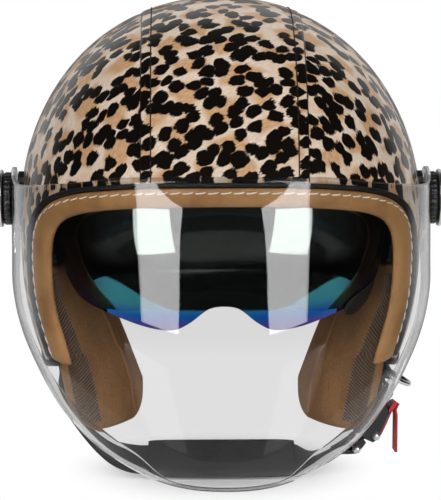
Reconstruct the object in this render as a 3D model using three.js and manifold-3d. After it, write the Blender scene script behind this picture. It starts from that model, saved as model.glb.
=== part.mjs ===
// An open face motorcycle helmet: a leather-covered hard shell with its foam and fabric inside, a clear
// bubble visor on two side pivots, a mirrored sun visor that slides up between shell and head, and a chin
// strap with a toothed quick-release buckle.
// Millimetres, +Z up, the face looks along -Y, the wearer's left is +X. The model is drawn about the
// visor's hinge axis (the X axis at y = 0, z = 0) and the finished group is set on its own lowest point.
import * as THREE from 'three';
import { mergeVertices } from 'three/addons/utils/BufferGeometryUtils.js';
import Module from 'manifold-3d';

const wasm = await Module();
wasm.setup();

// ---------- driving dimensions ----------
// Hard shell, measured on its outer face from the widest level.
const SHELL_HALF_WIDTH = 120.5;
const SHELL_FRONT = 131;
const SHELL_REAR = 135;
const SHELL_RISE = 134;
const SHELL_WALL = 4;
const WIDEST_Y = 12;
const WIDEST_Z = -15;
const DOME_POWER = 2.12; // roundness of the dome seen from the side
const PLAN_POWER = 2.35; // roundness of the shell seen from above
const TUCK_DEPTH = 80; // depth below the widest level where the tucks are stated
const JAW_TUCK = 0.1;
const NAPE_TUCK = 0.14;
const TUCK_POWER = 2.5;

// Layers. Each starts a fitting gap inside or outside the one that carries it.
const FIT = 0.3;
const LINING_FIT = 1.2; // a padded piece against the inside of the shell or foam
const SIDE_COVER = 1.3;
const CENTRE_COVER = 1.8;
const CENTRE_HALF_WIDTH = 47.7;
const FOAM = 25;
const CROWN_PAD = 5.5;
const FOAM_SETBACK = 7; // foam edge behind the shell edge
const FOAM_SEAM = 50; // half the width of the foam's middle section

// L-shaped rubber trims: a lip over the cover and a web across the edges of cover and shell.
const TRIM_LIP = 1.6;
const TRIM_WALL = 0.9;
const TRIM_SEAT = 0.5; // web clear of the cut edges
const FACE_TRIM_END = 0.62; // shares of the edge where the two trims meet at the cheek
const BOTTOM_TRIM_END = 0.645;

// Padded pieces.
const ROLL_STAND = 12.4; // how far the leather roll stands out of the face opening
const ROLL_PROUD = 1.4; // how far it swells past the shell's outer face, in front of the trim
const ROLL_WIDTH = 8.4;
const ROLL_TONGUE = 6; // flat part behind it, inside the shell
const ROLL_END = 0.612;
const CROWN_SEAM = 42; // half the width of the crown liner's middle panel
const CHEEK_TOP = -34;
const CHEEK_REAR = 42;
const NAPE_PAD = 16; // height of the neck roll's lap up the foam
const BROW_BAND_END = 0.4;
const BAND_STAND = 0.6; // how far the brow band stands past the shell's edge
const BAND_BEHIND_LENS = 15.1; // foam in front of it that the sun visor's slot runs through
const NECK_ROLL_END = 0.84;
const NECK_ROLL_STAND = 6;
const PAD_SETBACK = 5.6; // outer face inside the shell's outer face
const PAD_FOOT = -137;
const PAD_INSIDE = 38.5; // the pad's peak inside the shell's half width at the ear
const PAD_SWELL = 34; // how much further it reaches in at the jaw
const PAD_RIM = 9.5; // width of the ribbed strip along its front
const STRAP_GROOVE = 4.6; // depth of the strap's groove down the pad's outer face

// Clear visor.
const VISOR_WALL = 2.2;
const VISOR_STAND = 5.4; // ears outside the shell's widest level
const VISOR_HALF_WIDTH = SHELL_HALF_WIDTH + VISOR_STAND;
const EAR_RADIUS = 19.5;
const EAR_HOLE = 10;
const RIM_TURN = 9; // widest turned-in rim
const RIM_LEAST = 0.3;

// Pivot hardware, stacked outwards along the hinge axis.
const POD_RADIUS = 24;
const POCKET_RADIUS = 20.8;
const POCKET_DEPTH = 5;
const POCKET_FLOOR = SHELL_HALF_WIDTH - POCKET_DEPTH;
const POD_WALL = 3;
const BASE_RADIUS = 16.6;
const BASE_RIBS = 20;
const BOSS_RADIUS = 9.6;
const CAP_RADIUS = 16;
const CAP_HEIGHT = 5;
const DISC_RADIUS = 17.4;
const DISC_HEIGHT = 2.6;
const SCREW_RADIUS = 2.5;
const SCREW_HEAD_RADIUS = 4.6;
const SCREW_HEAD = 1.6;
const SCREW_HOLE = 2.9;
const NUT_FLAT = 8.6; // across the flats
const NUT_HEIGHT = 2.8;

// Sun visor: a band of a barrel that is round about the hinge axis.
const LENS_BEHIND_SHELL = 26.8; // at the front
const LENS_INSIDE_SHELL = 15.5; // at the sides
const LENS_REACH = SHELL_FRONT - LENS_BEHIND_SHELL;
const LENS_HALF_WIDTH = SHELL_HALF_WIDTH - LENS_INSIDE_SHELL;
const LENS_POWER = 2.35;
const LENS_WALL = 2.2;
const LENS_TOP = 20; // degrees above the hinge axis, with the lens down
const LENS_LIFT = 38; // degrees, until the finger tab comes up to the face lining
const LENS_EYELET = 12;
const LENS_PIN = 3;
const LENS_PIN_HOLE = 3.4;
const SLOT_CLEAR = 2.6;
const BRACKET_RADIUS = 14;
const BRACKET_WALL = 2.2;
const TAB_INSIDE = 24.5; // rubber finger tab on the lens's lower edge, inside the lens's half width
const TAB_X = LENS_HALF_WIDTH - TAB_INSIDE;
const TAB_WIDTH = 19;
const TAB_HEIGHT = 13;

// Chin strap.
const WEB_WIDTH = 24;
const WEB_WALL = 1.8;
const WEB_Y = -18; // middle of the webbing where it hangs inside the shell
const WEB_TOP = -62;
const WEB_BEHIND_SHELL = 0.9; // slack between the webbing and the fitted pieces' clearance
const CHIN_Y = -30;
const CHIN_Z = -155;
const CHIN_TILT = 30; // degrees, front edge down
const CHIN_PAD_LENGTH = 89;
const CHIN_PAD_WIDTH = 30;
const CHIN_PAD_DEPTH = 7.4;
const RIVET_Z = -72;
const RIVET_RADIUS = 2.4;
const RIVET_HEAD = 6;
const RIVET_HEAD_DEPTH = 1;

// Quick-release buckle, drawn in a frame of its own: +X faces away from the jaw, +Z runs up the strap.
const BUCKLE_INSIDE = 28.5; // its middle inside the shell's half width
const BUCKLE_AT = new THREE.Vector3(SHELL_HALF_WIDTH - BUCKLE_INSIDE, -20, -130);
const BUCKLE_DOWN = new THREE.Vector3(-0.42, -0.1, -0.9).normalize();
const BUCKLE_WIDTH = 29;
const BUCKLE_FOOT = -15;
const BUCKLE_HEAD = 9;
const BUCKLE_BAR = 15.4; // middle of the webbing bar
const BAR_RADIUS = 2.3;
const BUCKLE_BACK = -3.6;
const BUCKLE_FRONT = 7.2;
const BUCKLE_WALL = 1.7;
const CHANNEL_HALF_WIDTH = 9;
const TONGUE_WALL = 1.9;
const TOOTH_RISE = 0.9;
const TOOTH_PITCH = 2;
const TONGUE_TIP = 6;
const TONGUE_BEND = -14;
const LEVER_PIN_X = 4.9;
const LEVER_PIN_Z = -10.5;
const PIN_RADIUS = 1.2;
const PIN_HEAD = 2.6;
const LEVER_TIP = 13;
const LEVER_BARREL = 2.5;
const LEVER_WALL = 2.2;
const TONGUE_PIN_X = -2.5;
const TONGUE_PIN_Z = -22.5;
const RIBBON_WIDTH = 12;
const RIBBON_WALL = 1.6;

// D-ring that hangs from a loop on the short webbing.
const RING_Z = -104.3;
const RING_WIRE = 1.5;
const RING_HALF_WIDTH = 10.5;
const RING_REACH = 14;
const RING_LOOP_WALL = 1.3;
const RING_DROOP = 28; // degrees below level

// ---------- materials ----------
const finish = (color, roughness, metalness = 0, opacity = 1) => new THREE.MeshStandardMaterial({
  color, roughness, metalness, opacity, transparent: opacity < 1,
});
const PRINTED_LEATHER = finish(0xd9bd9a, 0.25);
const SHELL_PLASTIC = finish(0x1c1c1e, 0.5);
const FOAM_BLACK = finish(0x2b2b2b, 0.9);
const TAN_LEATHER = finish(0x9a7146, 0.5);
const TAN_FABRIC = finish(0x7d5b39, 0.95);
const BLACK_RUBBER = finish(0x151515, 0.7);
const BLACK_PLASTIC = finish(0x1a1a1a, 0.4);
const CLEAR_PLASTIC = finish(0xf2f6f7, 0.05, 0, 0.25);
const MIRROR_LENS = finish(0x1d3c55, 0.08, 0.6);
const BRIGHT_STEEL = finish(0xd0d2d4, 0.2, 1);
const WEBBING = finish(0x222224, 0.9);
const RED_PLASTIC = finish(0xb01c22, 0.45);
const RED_RIBBON = finish(0xa8141c, 0.9);

// ---------- solids ----------
const helmet = new THREE.Group();
helmet.name = 'open_face_helmet';

function toSolid(geometry) {
  const bare = geometry.clone();
  bare.deleteAttribute('normal');
  bare.deleteAttribute('uv');
  const merged = mergeVertices(bare, 1e-4);
  return new wasm.Manifold(new wasm.Mesh({
    numProp: 3,
    vertProperties: new Float32Array(merged.attributes.position.array),
    triVerts: new Uint32Array(merged.index.array),
  }));
}

function toGeometry(solid) {
  const mesh = solid.getMesh();
  const geometry = new THREE.BufferGeometry();
  geometry.setAttribute('position', new THREE.Float32BufferAttribute(mesh.vertProperties, 3));
  geometry.setIndex([...mesh.triVerts]);
  geometry.computeVertexNormals();
  return geometry;
}

function addPart(name, shape, material, parent = helmet) {
  const geometry = shape.isBufferGeometry ? shape : toGeometry(shape);
  const mesh = new THREE.Mesh(geometry, material);
  mesh.name = name;
  parent.add(mesh);
  return mesh;
}

// A closed skin through closed rings of points, all with the same count. The ends are closed with the
// given triangles, or with a fan.
function loft(rings, { loop = false, caps = null } = {}) {
  const count = rings[0].length;
  const points = rings.flat();
  const faces = [];
  const last = loop ? rings.length : rings.length - 1;
  for (let r = 0; r < last; r += 1) {
    const near = r * count;
    const far = ((r + 1) % rings.length) * count;
    for (let k = 0; k < count; k += 1) {
      const next = (k + 1) % count;
      faces.push(near + k, near + next, far + next, near + k, far + next, far + k);
    }
  }
  if (!loop) {
    const tail = (rings.length - 1) * count;
    for (const [a, b, c] of caps ?? fanFaces(count)) {
      faces.push(c, b, a, tail + a, tail + b, tail + c);
    }
  }
  return closedGeometry(points, faces);
}

const fanFaces = (count) => Array.from({ length: count - 2 }, (_, i) => [0, i + 1, i + 2]);

// Triangles over a drawn outline that may be hollowed, wound the way its points run.
function outlineFaces(outline) {
  const isClockwise = THREE.ShapeUtils.isClockWise(outline);
  return THREE.ShapeUtils.triangulateShape(outline, []).map(([a, b, c]) => {
    const cut = THREE.ShapeUtils.isClockWise([outline[a], outline[b], outline[c]]);
    return cut === isClockwise ? [a, b, c] : [c, b, a];
  });
}

// Triangles over a long thin end: a row of points one way and the same number back.
function ribbonFaces(rows) {
  const last = 2 * rows + 1;
  return Array.from({ length: rows }, (_, k) => [
    [k, k + 1, last - k - 1], [k, last - k - 1, last - k],
  ]).flat();
}

// Turns the faces to look outwards, whichever way round the rings were given.
function closedGeometry(points, faces) {
  let volume = 0;
  for (let i = 0; i < faces.length; i += 3) {
    const [a, b, c] = [points[faces[i]], points[faces[i + 1]], points[faces[i + 2]]];
    volume += a.dot(b.clone().cross(c));
  }
  if (volume < 0) faces.reverse();
  const geometry = new THREE.BufferGeometry().setFromPoints(points);
  geometry.setIndex(faces);
  geometry.computeVertexNormals();
  return geometry;
}

// A drawn outline in the Y-Z plane, extruded along X.
function extrudeAlongX(outlinePoints, from, to) {
  const shape = new THREE.Shape(outlinePoints);
  const geometry = new THREE.ExtrudeGeometry(shape, { depth: to - from, bevelEnabled: false });
  const place = new THREE.Matrix4().makeBasis(
    new THREE.Vector3(0, 1, 0), new THREE.Vector3(0, 0, 1), new THREE.Vector3(1, 0, 0),
  );
  place.setPosition(from, 0, 0);
  return toSolid(geometry.applyMatrix4(place));
}

// A round bar along X, centred on a point of the Y-Z plane.
function barAlongX(radius, from, to, sides = 24, y = 0, z = 0) {
  const geometry = new THREE.CylinderGeometry(radius, radius, Math.abs(to - from), sides);
  geometry.rotateZ(Math.PI / 2).translate((from + to) / 2, y, z);
  return toSolid(geometry);
}

// ---------- the shell's family of surfaces ----------
// Every layer is this egg shape grown or shrunk by a distance.
function levelAt(z, grow) {
  const halfWidth = SHELL_HALF_WIDTH + grow;
  const front = SHELL_FRONT + grow;
  const rear = SHELL_REAR + grow;
  if (z >= WIDEST_Z) {
    const share = Math.min((z - WIDEST_Z) / (SHELL_RISE + grow), 1);
    const size = (1 - share ** DOME_POWER) ** (1 / DOME_POWER);
    return { halfWidth: halfWidth * size, front: front * size, rear: rear * size };
  }
  const drop = ((WIDEST_Z - z) / TUCK_DEPTH) ** TUCK_POWER;
  const jaw = 1 - JAW_TUCK * drop;
  const nape = 1 - NAPE_TUCK * drop;
  return { halfWidth: halfWidth * jaw, front: front * jaw, rear: rear * nape };
}

const signedPower = (value, power) => Math.sign(value) * Math.abs(value) ** power;

// A point on the surface, by its angle in plan: 90 degrees is the brow, 0 the wearer's left side.
function domePoint(angle, z, grow) {
  const level = levelAt(z, grow);
  const reach = Math.sin(angle) > 0 ? level.front : level.rear;
  return new THREE.Vector3(
    level.halfWidth * signedPower(Math.cos(angle), 2 / PLAN_POWER),
    WIDEST_Y - reach * signedPower(Math.sin(angle), 2 / PLAN_POWER),
    z,
  );
}

// Half the surface's width where a line along X at (y, z) meets it.
function domeHalfWidth(y, z, grow) {
  const level = levelAt(z, grow);
  const share = Math.abs(y - WIDEST_Y) / (y < WIDEST_Y ? level.front : level.rear);
  return share >= 1 ? 0 : level.halfWidth * (1 - share ** PLAN_POWER) ** (1 / PLAN_POWER);
}

const DOME_FLOOR = -112;
const DOME_SIDES = 32;
const INNER_SIDES = 24;
const LOWER_LEVELS = 4;
const UPPER_LEVELS = 7;

function domeSolid(grow, sides = DOME_SIDES) {
  const levels = [];
  for (let i = 0; i < LOWER_LEVELS; i += 1) {
    levels.push(DOME_FLOOR + ((WIDEST_Z - DOME_FLOOR) * i) / LOWER_LEVELS);
  }
  for (let i = 0; i < UPPER_LEVELS; i += 1) {
    const turn = (i / UPPER_LEVELS) * (Math.PI / 2);
    levels.push(WIDEST_Z + (SHELL_RISE + grow) * Math.sin(turn) ** (2 / DOME_POWER));
  }
  const points = levels.flatMap((z) => Array.from(
    { length: sides },
    (_, k) => domePoint((k / sides) * 2 * Math.PI, z, grow),
  ));
  const faces = [];
  for (let r = 0; r < levels.length - 1; r += 1) {
    for (let k = 0; k < sides; k += 1) {
      const next = (k + 1) % sides;
      const [near, far] = [r * sides, (r + 1) * sides];
      faces.push(near + k, far + next, near + next, near + k, far + k, far + next);
    }
  }
  const foot = points.push(new THREE.Vector3(0, WIDEST_Y, DOME_FLOOR)) - 1;
  const crown = points.push(new THREE.Vector3(0, WIDEST_Y, WIDEST_Z + SHELL_RISE + grow)) - 1;
  const rim = (levels.length - 1) * sides;
  for (let k = 0; k < sides; k += 1) {
    const next = (k + 1) % sides;
    faces.push(k, next, foot, rim + next, rim + k, crown);
  }
  return toSolid(closedGeometry(points, faces));
}

const domeLayer = (outer, inner) => domeSolid(outer).subtract(domeSolid(inner));

// ---------- the shell's edge, drawn from the side ----------
// From in front of the brow, along the brow, down the side of the face and back under the ear.
const edgeCurve = new THREE.SplineCurve([
  [-145, 21.5], [-120, 21.3], [-100, 17.5], [-84, 13], [-69, 6], [-58, -4], [-51.5, -18], [-49.5, -38],
  [-49, -58], [-50, -76], [-47, -89], [-36, -95.5], [-14, -96], [30, -92], [80, -84.5], [128, -78],
  [165, -75],
].map(([y, z]) => new THREE.Vector2(y, z)));
const BROW_SIDE_SHARE = 0.44; // share of the curve where the side of the face is upright
const CHEEK_SHARE = 0.69; // share of the curve at the cheek's lower corner

// A point of the edge, moved out of the shell by an offset.
function edgeAt(share, offset) {
  const point = edgeCurve.getPoint(share);
  const tangent = edgeCurve.getTangent(share);
  return new THREE.Vector2(point.x + offset * tangent.y, point.y - offset * tangent.x);
}

// Where the offset edge meets the surface in the middle plane, at the brow or at the nape.
function middleShare(offset, grow, atFront) {
  let [inside, outside] = atFront ? [BROW_SIDE_SHARE, 0] : [CHEEK_SHARE, 1];
  for (let i = 0; i < 40; i += 1) {
    const share = (inside + outside) / 2;
    const point = edgeAt(share, offset);
    if (domeHalfWidth(point.x, point.y, grow) > 0) inside = share;
    else outside = share;
  }
  return inside;
}

// A rail along half of the edge at one offset and growth. Steps crowd towards the middle plane,
// where the surface turns across the helmet.
const RAIL_POWER = 1.7;
function edgeRail(offset, grow, steps, endShare, atFront) {
  const start = middleShare(offset, grow, atFront);
  return Array.from({ length: steps + 1 }, (_, i) => {
    const share = start + (endShare - start) * (i / steps) ** RAIL_POWER;
    const point = edgeAt(share, offset);
    const halfWidth = i === 0 ? 0 : domeHalfWidth(point.x, point.y, grow);
    return new THREE.Vector3(halfWidth, point.x, point.y);
  });
}

// A strip along the edge with a drawn section, given as [offset past the edge, growth] pairs.
function edgeStrip(section, steps, endShare, atFront = true) {
  const rails = section.map(([offset, grow]) => edgeRail(offset, grow, steps, endShare, atFront));
  const rings = [];
  for (let i = -steps; i <= steps; i += 1) {
    const side = i < 0 ? -1 : 1;
    rings.push(rails.map((rail) => {
      const point = rail[Math.abs(i)];
      return new THREE.Vector3(point.x * side, point.y, point.z);
    }));
  }
  const outline = section.map(([offset, grow]) => new THREE.Vector2(offset, grow));
  return loft(rings, { caps: outlineFaces(outline) });
}

// The side view of what a layer keeps, set back from the shell's edge.
const FAR = 170;
const EDGE_STEPS = 31;
function keptOutline(setback) {
  const edge = Array.from({ length: EDGE_STEPS + 1 }, (_, i) => edgeAt(i / EDGE_STEPS, -setback));
  return [...edge, new THREE.Vector2(FAR, FAR), new THREE.Vector2(edge[0].x, FAR)];
}
const keptSolid = (setback) => extrudeAlongX(keptOutline(setback), -FAR, FAR);

// ---------- shell, cover and trims ----------
const podOuter = POCKET_FLOOR - POD_WALL;

function addShell() {
  const sides = [-1, 1];
  let shell = domeLayer(0, -SHELL_WALL);
  for (const side of sides) {
    const pod = barAlongX(POD_RADIUS, side * podOuter, side * (SHELL_HALF_WIDTH + 5));
    shell = shell.add(pod.intersect(domeSolid(0)));
  }
  shell = shell.intersect(keptSolid(0));
  for (const side of sides) {
    shell = shell
      .subtract(barAlongX(POCKET_RADIUS, side * POCKET_FLOOR, side * FAR))
      .subtract(barAlongX(SCREW_HOLE, side * (podOuter - 5), side * FAR, 12))
      .subtract(rivetHole(rivetFrames[side > 0 ? 0 : 1][1]));
  }
  addPart('outer_shell', shell, SHELL_PLASTIC);
}

function addCover() {
  const kept = keptSolid(0);
  const sideLayer = domeLayer(FIT + SIDE_COVER, FIT).intersect(kept);
  const seam = CENTRE_HALF_WIDTH + FIT;
  for (const [name, side] of [['left', 1], ['right', -1]]) {
    const half = boxSolid([side * seam, -FAR, -FAR], [side * FAR, FAR, FAR]);
    const panel = sideLayer.intersect(half)
      .subtract(barAlongX(POCKET_RADIUS + 1, side * 60, side * FAR));
    addPart(`cover_${name}`, panel, PRINTED_LEATHER);
  }
  const strip = boxSolid([-CENTRE_HALF_WIDTH, -FAR, -FAR], [CENTRE_HALF_WIDTH, FAR, FAR]);
  const centre = domeLayer(FIT + CENTRE_COVER, FIT).intersect(kept).intersect(strip);
  addPart('cover_centre', centre, PRINTED_LEATHER);
}

function boxSolid(low, high) {
  const size = low.map((value, k) => Math.abs(high[k] - value));
  const geometry = new THREE.BoxGeometry(...size);
  geometry.translate(...low.map((value, k) => (value + high[k]) / 2));
  return toSolid(geometry);
}

const overCover = FIT + CENTRE_COVER + FIT;
const trimSection = [
  [-TRIM_LIP, overCover], [-TRIM_LIP + TRIM_WALL / 2, overCover + TRIM_WALL],
  [TRIM_SEAT + TRIM_WALL / 2, overCover + TRIM_WALL], [TRIM_SEAT + TRIM_WALL, overCover],
  [TRIM_SEAT + TRIM_WALL, -SHELL_WALL], [TRIM_SEAT, -SHELL_WALL], [TRIM_SEAT, overCover],
];
const FACE_STEPS = 19;
const BOTTOM_STEPS = 13;

function addTrims() {
  addPart('face_edge_trim', edgeStrip(trimSection, FACE_STEPS, FACE_TRIM_END), BLACK_RUBBER);
  addPart('bottom_edge_trim', edgeStrip(trimSection, BOTTOM_STEPS, BOTTOM_TRIM_END, false), BLACK_RUBBER);
}

// The tan leather roll that stands out of the shell's face opening.
const rollOuter = -SHELL_WALL - LINING_FIT - FIT / 2;
const rollInner = ROLL_PROUD - ROLL_WIDTH;
const rollBack = TRIM_SEAT + TRIM_WALL + FIT;
const rollSection = [
  [-ROLL_TONGUE, rollOuter], [rollBack, rollOuter], [rollBack, ROLL_PROUD - 1.4],
  [rollBack + 1.6, ROLL_PROUD], [rollBack + 5, ROLL_PROUD - 0.2], [ROLL_STAND - 1.6, ROLL_PROUD - 2.4],
  [ROLL_STAND, ROLL_PROUD - 5], [ROLL_STAND - 1.4, rollInner + 1], [ROLL_STAND - 5, rollInner],
  [-ROLL_TONGUE, rollInner - 1.4],
];

function addFaceLining() {
  addPart('face_lining', edgeStrip(rollSection, FACE_STEPS, ROLL_END), TAN_LEATHER);
}

// ---------- foam and fabric ----------
const foamOuter = -SHELL_WALL - FIT;
const foamInner = foamOuter - FOAM;
const crownOuter = foamInner - FIT;
const crownInner = crownOuter - CROWN_PAD;
const bandOuter = foamOuter - BAND_BEHIND_LENS;
const BAND_STEPS = 13;
const ROLL_STEPS = 10;

// The kept side view with the cheek's space cut out under the ear.
function linedOutline(setback, cheekTop, cheekRear) {
  const edge = Array.from({ length: EDGE_STEPS + 1 }, (_, i) => edgeAt(i / EDGE_STEPS, -setback));
  const brow = edge.filter((point) => point.x < 0 && point.y > cheekTop);
  const nape = edge.filter((point) => point.x > cheekRear);
  const corner = brow[brow.length - 1];
  return [
    ...brow, new THREE.Vector2(corner.x + 2, cheekTop), new THREE.Vector2(cheekRear, cheekTop),
    new THREE.Vector2(cheekRear, nape[0].y), ...nape,
    new THREE.Vector2(FAR, FAR), new THREE.Vector2(edge[0].x, FAR),
  ];
}

function addFoam() {
  let foam = domeSolid(foamOuter).subtract(domeSolid(foamInner, INNER_SIDES));
  foam = foam.intersect(extrudeAlongX(linedOutline(FOAM_SETBACK, CHEEK_TOP, CHEEK_REAR), -FAR, FAR));
  foam = foam.subtract(lensBand(SLOT_CLEAR, -75, LENS_TOP + LENS_LIFT + 2.5));
  for (const side of [-1, 1]) {
    foam = foam
      .subtract(barAlongX(POD_RADIUS + FIT, side * (podOuter - FIT), side * FAR))
      .subtract(barAlongX(BRACKET_RADIUS + 1.5, side * (lensSide - 9), side * (bracketOuter + FIT), 18))
      .subtract(barAlongX(SCREW_HEAD_RADIUS + 2, side * (lensSide - 9), side * FAR, 12));
  }
  addPanels(foam, FOAM_SEAM, ['eps_liner', 'eps_side_left', 'eps_side_right'], FOAM_BLACK);
}

// Cuts a lining at two seams into its middle, left and right panels.
function addPanels(lining, seam, [middle, left, right], material) {
  const panels = [[middle, -seam, seam], [left, seam + FIT, FAR], [right, -FAR, -seam - FIT]];
  for (const [name, from, to] of panels) {
    addPart(name, lining.intersect(boxSolid([from, -FAR, -FAR], [to, FAR, FAR])), material);
  }
}

// The comfort lining is sewn from a middle panel and two side panels.
function addCrownLiner() {
  const outline = linedOutline(FOAM_SETBACK, CHEEK_TOP + 1, CHEEK_REAR + 1)
    .map((point) => (point.x > CHEEK_REAR && point.y < 0
      ? new THREE.Vector2(point.x, point.y + NAPE_PAD) : point));
  const liner = domeSolid(crownOuter, INNER_SIDES).subtract(domeSolid(crownInner, INNER_SIDES))
    .intersect(extrudeAlongX(outline, -FAR, FAR));
  const names = ['crown_liner_centre', 'crown_liner_left', 'crown_liner_right'];
  addPanels(liner, CROWN_SEAM, names, TAN_FABRIC);
}

// The sewn front edge of the lining, a rounded band in front of the foam's inner half.
function addBrowBand() {
  const back = -FOAM_SETBACK + FIT;
  const bandMiddle = (bandOuter + crownInner) / 2;
  const section = [
    [back, bandOuter], [BAND_STAND - 3.1, bandOuter], [BAND_STAND - 0.8, bandOuter - 2.6],
    [BAND_STAND, bandMiddle], [BAND_STAND - 0.8, crownInner + 3], [BAND_STAND - 3.4, crownInner],
    [back, crownInner],
  ];
  addPart('brow_band', edgeStrip(section, BAND_STEPS, BROW_BAND_END), TAN_FABRIC);
}

function addNeckRoll() {
  const lap = -FOAM_SETBACK - NAPE_PAD + 1.5;
  const lapOuter = foamInner - 1.5 * LINING_FIT;
  const back = -FOAM_SETBACK + FIT;
  const section = [
    [back, foamOuter - 1], [0, foamOuter - 2.5], [NECK_ROLL_STAND - 2, foamOuter - 6],
    [NECK_ROLL_STAND, foamOuter - FOAM / 2], [NECK_ROLL_STAND - 1, foamOuter - 0.8 * FOAM],
    [0, crownInner + 0.5], [back - 1.3, crownInner - 1.5], [lap + 4, crownInner - 0.5],
    [lap, lapOuter - 1.4], [lap, lapOuter], [back, lapOuter],
  ];
  addPart('neck_roll', edgeStrip(section, ROLL_STEPS, NECK_ROLL_END, false), TAN_FABRIC);
}

// ---------- cheek pads ----------
// Plan sections stacked from the ear down; the inner face swells towards the jaw and the foot is rounded.
const PAD_TOP = CHEEK_TOP - 2;
const PAD_LEVELS = 11;
const PAD_FREE = -95; // below this the pad hangs clear of the shell and only leans in
const grooveFront = WEB_Y - WEB_WIDTH / 2 - 4;
const grooveRear = WEB_Y + WEB_WIDTH / 2 + 4;

// The outer face follows the shell down to its edge; the strap's groove leans in more below it.
function padOuter(y, z, inGroove) {
  const below = Math.max(PAD_FREE - z, 0);
  const setback = PAD_SETBACK + (inGroove ? STRAP_GROOVE + 0.1 * below : 0);
  return domeHalfWidth(y, Math.max(z, PAD_FREE), -setback) - 0.2 * below;
}

function padSection(share) {
  const z = PAD_TOP + (PAD_FOOT - PAD_TOP) * share;
  const tuckIn = share > 0.82 ? ((share - 0.82) / 0.18) ** 2 : 0;
  const front = WEB_Y - 22 - 2.5 * Math.min(share * 2, 1) + 12 * tuckIn;
  const rear = CHEEK_REAR - 4 - 26 * share ** 2 - 8 * tuckIn;
  const outerAt = (y, inGroove = false) => padOuter(y, z, inGroove) - 8 * tuckIn;
  const peak = SHELL_HALF_WIDTH - PAD_INSIDE - PAD_SWELL * Math.min(share / 0.75, 1) ** 0.8 + 9 * tuckIn;
  const peakY = 4 - 6 * share;
  const inner = outerAt(front) - PAD_RIM;
  const slope = (along, across) => [peak + (inner - peak) * along, peakY + (front - peakY) * across];
  return [
    [outerAt(front + 2), front + 2], [outerAt(grooveFront), Math.max(grooveFront, front + 2.5)],
    [outerAt(grooveFront + 1, true), Math.max(grooveFront + 1, front + 3.5)],
    [outerAt(grooveRear, true), Math.min(grooveRear, rear - 5)], [outerAt(rear - 2, true), rear - 2],
    [outerAt(rear, true) - 3, rear], [peak + (outerAt(rear) - peak) * 0.45, rear - 1.5],
    [peak + 5, (peakY + rear) / 2 + 4], [peak, peakY], slope(0.3, 0.42), slope(0.7, 0.78),
    [inner, front + 1], [inner + 2.5, front - 0.5], [outerAt(front) - 1.5, front],
  ].map(([x, y]) => new THREE.Vector3(x, y, z));
}

function addCheekPads() {
  for (const [name, side] of [['left', 1], ['right', -1]]) {
    const rings = Array.from({ length: PAD_LEVELS + 1 }, (_, i) => padSection(i / PAD_LEVELS)
      .map((point) => new THREE.Vector3(point.x * side, point.y, point.z)));
    addPart(`cheek_pad_${name}`, loft(rings), TAN_FABRIC);
  }
}

// ---------- sun visor ----------
// The barrel's radius about the hinge axis, and the part of it between two angles.
const barrel = (turn, reach, halfWidth) => ({
  x: halfWidth * signedPower(Math.sin(turn), 2 / LENS_POWER),
  radius: reach * Math.cos(turn) ** (2 / LENS_POWER),
});
const radians = (degrees) => (degrees * Math.PI) / 180;
const onBarrel = (at, angle) => new THREE.Vector3(
  at.x, -at.radius * Math.cos(radians(angle)), at.radius * Math.sin(radians(angle)),
);

function lensBand(clear, lowAngle, highAngle) {
  const [columns, rows] = [18, 10];
  const rings = Array.from({ length: columns + 1 }, (_, i) => {
    const turn = radians(-86 + (172 * i) / columns);
    const outer = barrel(turn, LENS_REACH + clear, LENS_HALF_WIDTH + clear);
    const inner = barrel(turn, LENS_REACH - LENS_WALL - clear, LENS_HALF_WIDTH - LENS_WALL - clear);
    const angleAt = (k) => lowAngle + ((highAngle - lowAngle) * k) / rows;
    return [
      ...Array.from({ length: rows + 1 }, (_, k) => onBarrel(outer, angleAt(k))),
      ...Array.from({ length: rows + 1 }, (_, k) => onBarrel(inner, angleAt(rows - k))),
    ];
  });
  return toSolid(loft(rings, { caps: ribbonFaces(rows) }));
}

// Height of the lens's lower edge across the helmet: the nose cut-out, two lobes and the upswept arms.
const lensEdge = new THREE.SplineCurve([
  [0, -52], [9, -54], [20, -63.5], [30, -68.5], [45, -67], [64, -61], [-23, -54], [-15, -44], [-10.5, -29],
  [-7, -17], [-2, -8], [2, -4],
].map(([x, z]) => new THREE.Vector2(x < 0 ? LENS_HALF_WIDTH + x : x, z))).getPoints(80);

function lookUp(curve, at) {
  const next = curve.findIndex((point) => point.x >= at);
  if (next < 0) return curve[curve.length - 1].y;
  if (next === 0) return curve[0].y;
  const [a, b] = [curve[next - 1], curve[next]];
  return a.y + ((b.y - a.y) * (at - a.x)) / (b.x - a.x);
}

function lensSolid() {
  const [columns, rows] = [28, 3];
  const rings = Array.from({ length: columns + 1 }, (_, i) => {
    const turn = radians(-86.5 + (173 * i) / columns);
    const outer = barrel(turn, LENS_REACH, LENS_HALF_WIDTH);
    const inner = barrel(turn, LENS_REACH - LENS_WALL, LENS_HALF_WIDTH - LENS_WALL);
    const drop = lookUp(lensEdge, Math.abs(outer.x)) / outer.radius;
    const low = (Math.asin(Math.max(drop, -0.9)) * 180) / Math.PI;
    const angleAt = (k) => low + ((LENS_TOP - low) * k) / rows;
    return [
      ...Array.from({ length: rows + 1 }, (_, k) => onBarrel(outer, angleAt(k))),
      ...Array.from({ length: rows + 1 }, (_, k) => onBarrel(inner, angleAt(rows - k))),
    ];
  });
  let lens = toSolid(loft(rings, { caps: ribbonFaces(rows) }));
  for (const side of [-1, 1]) {
    lens = lens.add(barAlongX(LENS_EYELET, side * (LENS_HALF_WIDTH - LENS_WALL), side * lensSide, 18));
    lens = lens.subtract(barAlongX(LENS_PIN_HOLE, side * (lensSide - 15), side * FAR, 14));
  }
  return lens;
}

const lensSide = LENS_HALF_WIDTH - 0.2;
const bracketInner = lensSide + FIT + 0.1;
const bracketOuter = bracketInner + BRACKET_WALL;
const bodySun = new THREE.Group();
helmet.add(bodySun);

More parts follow.
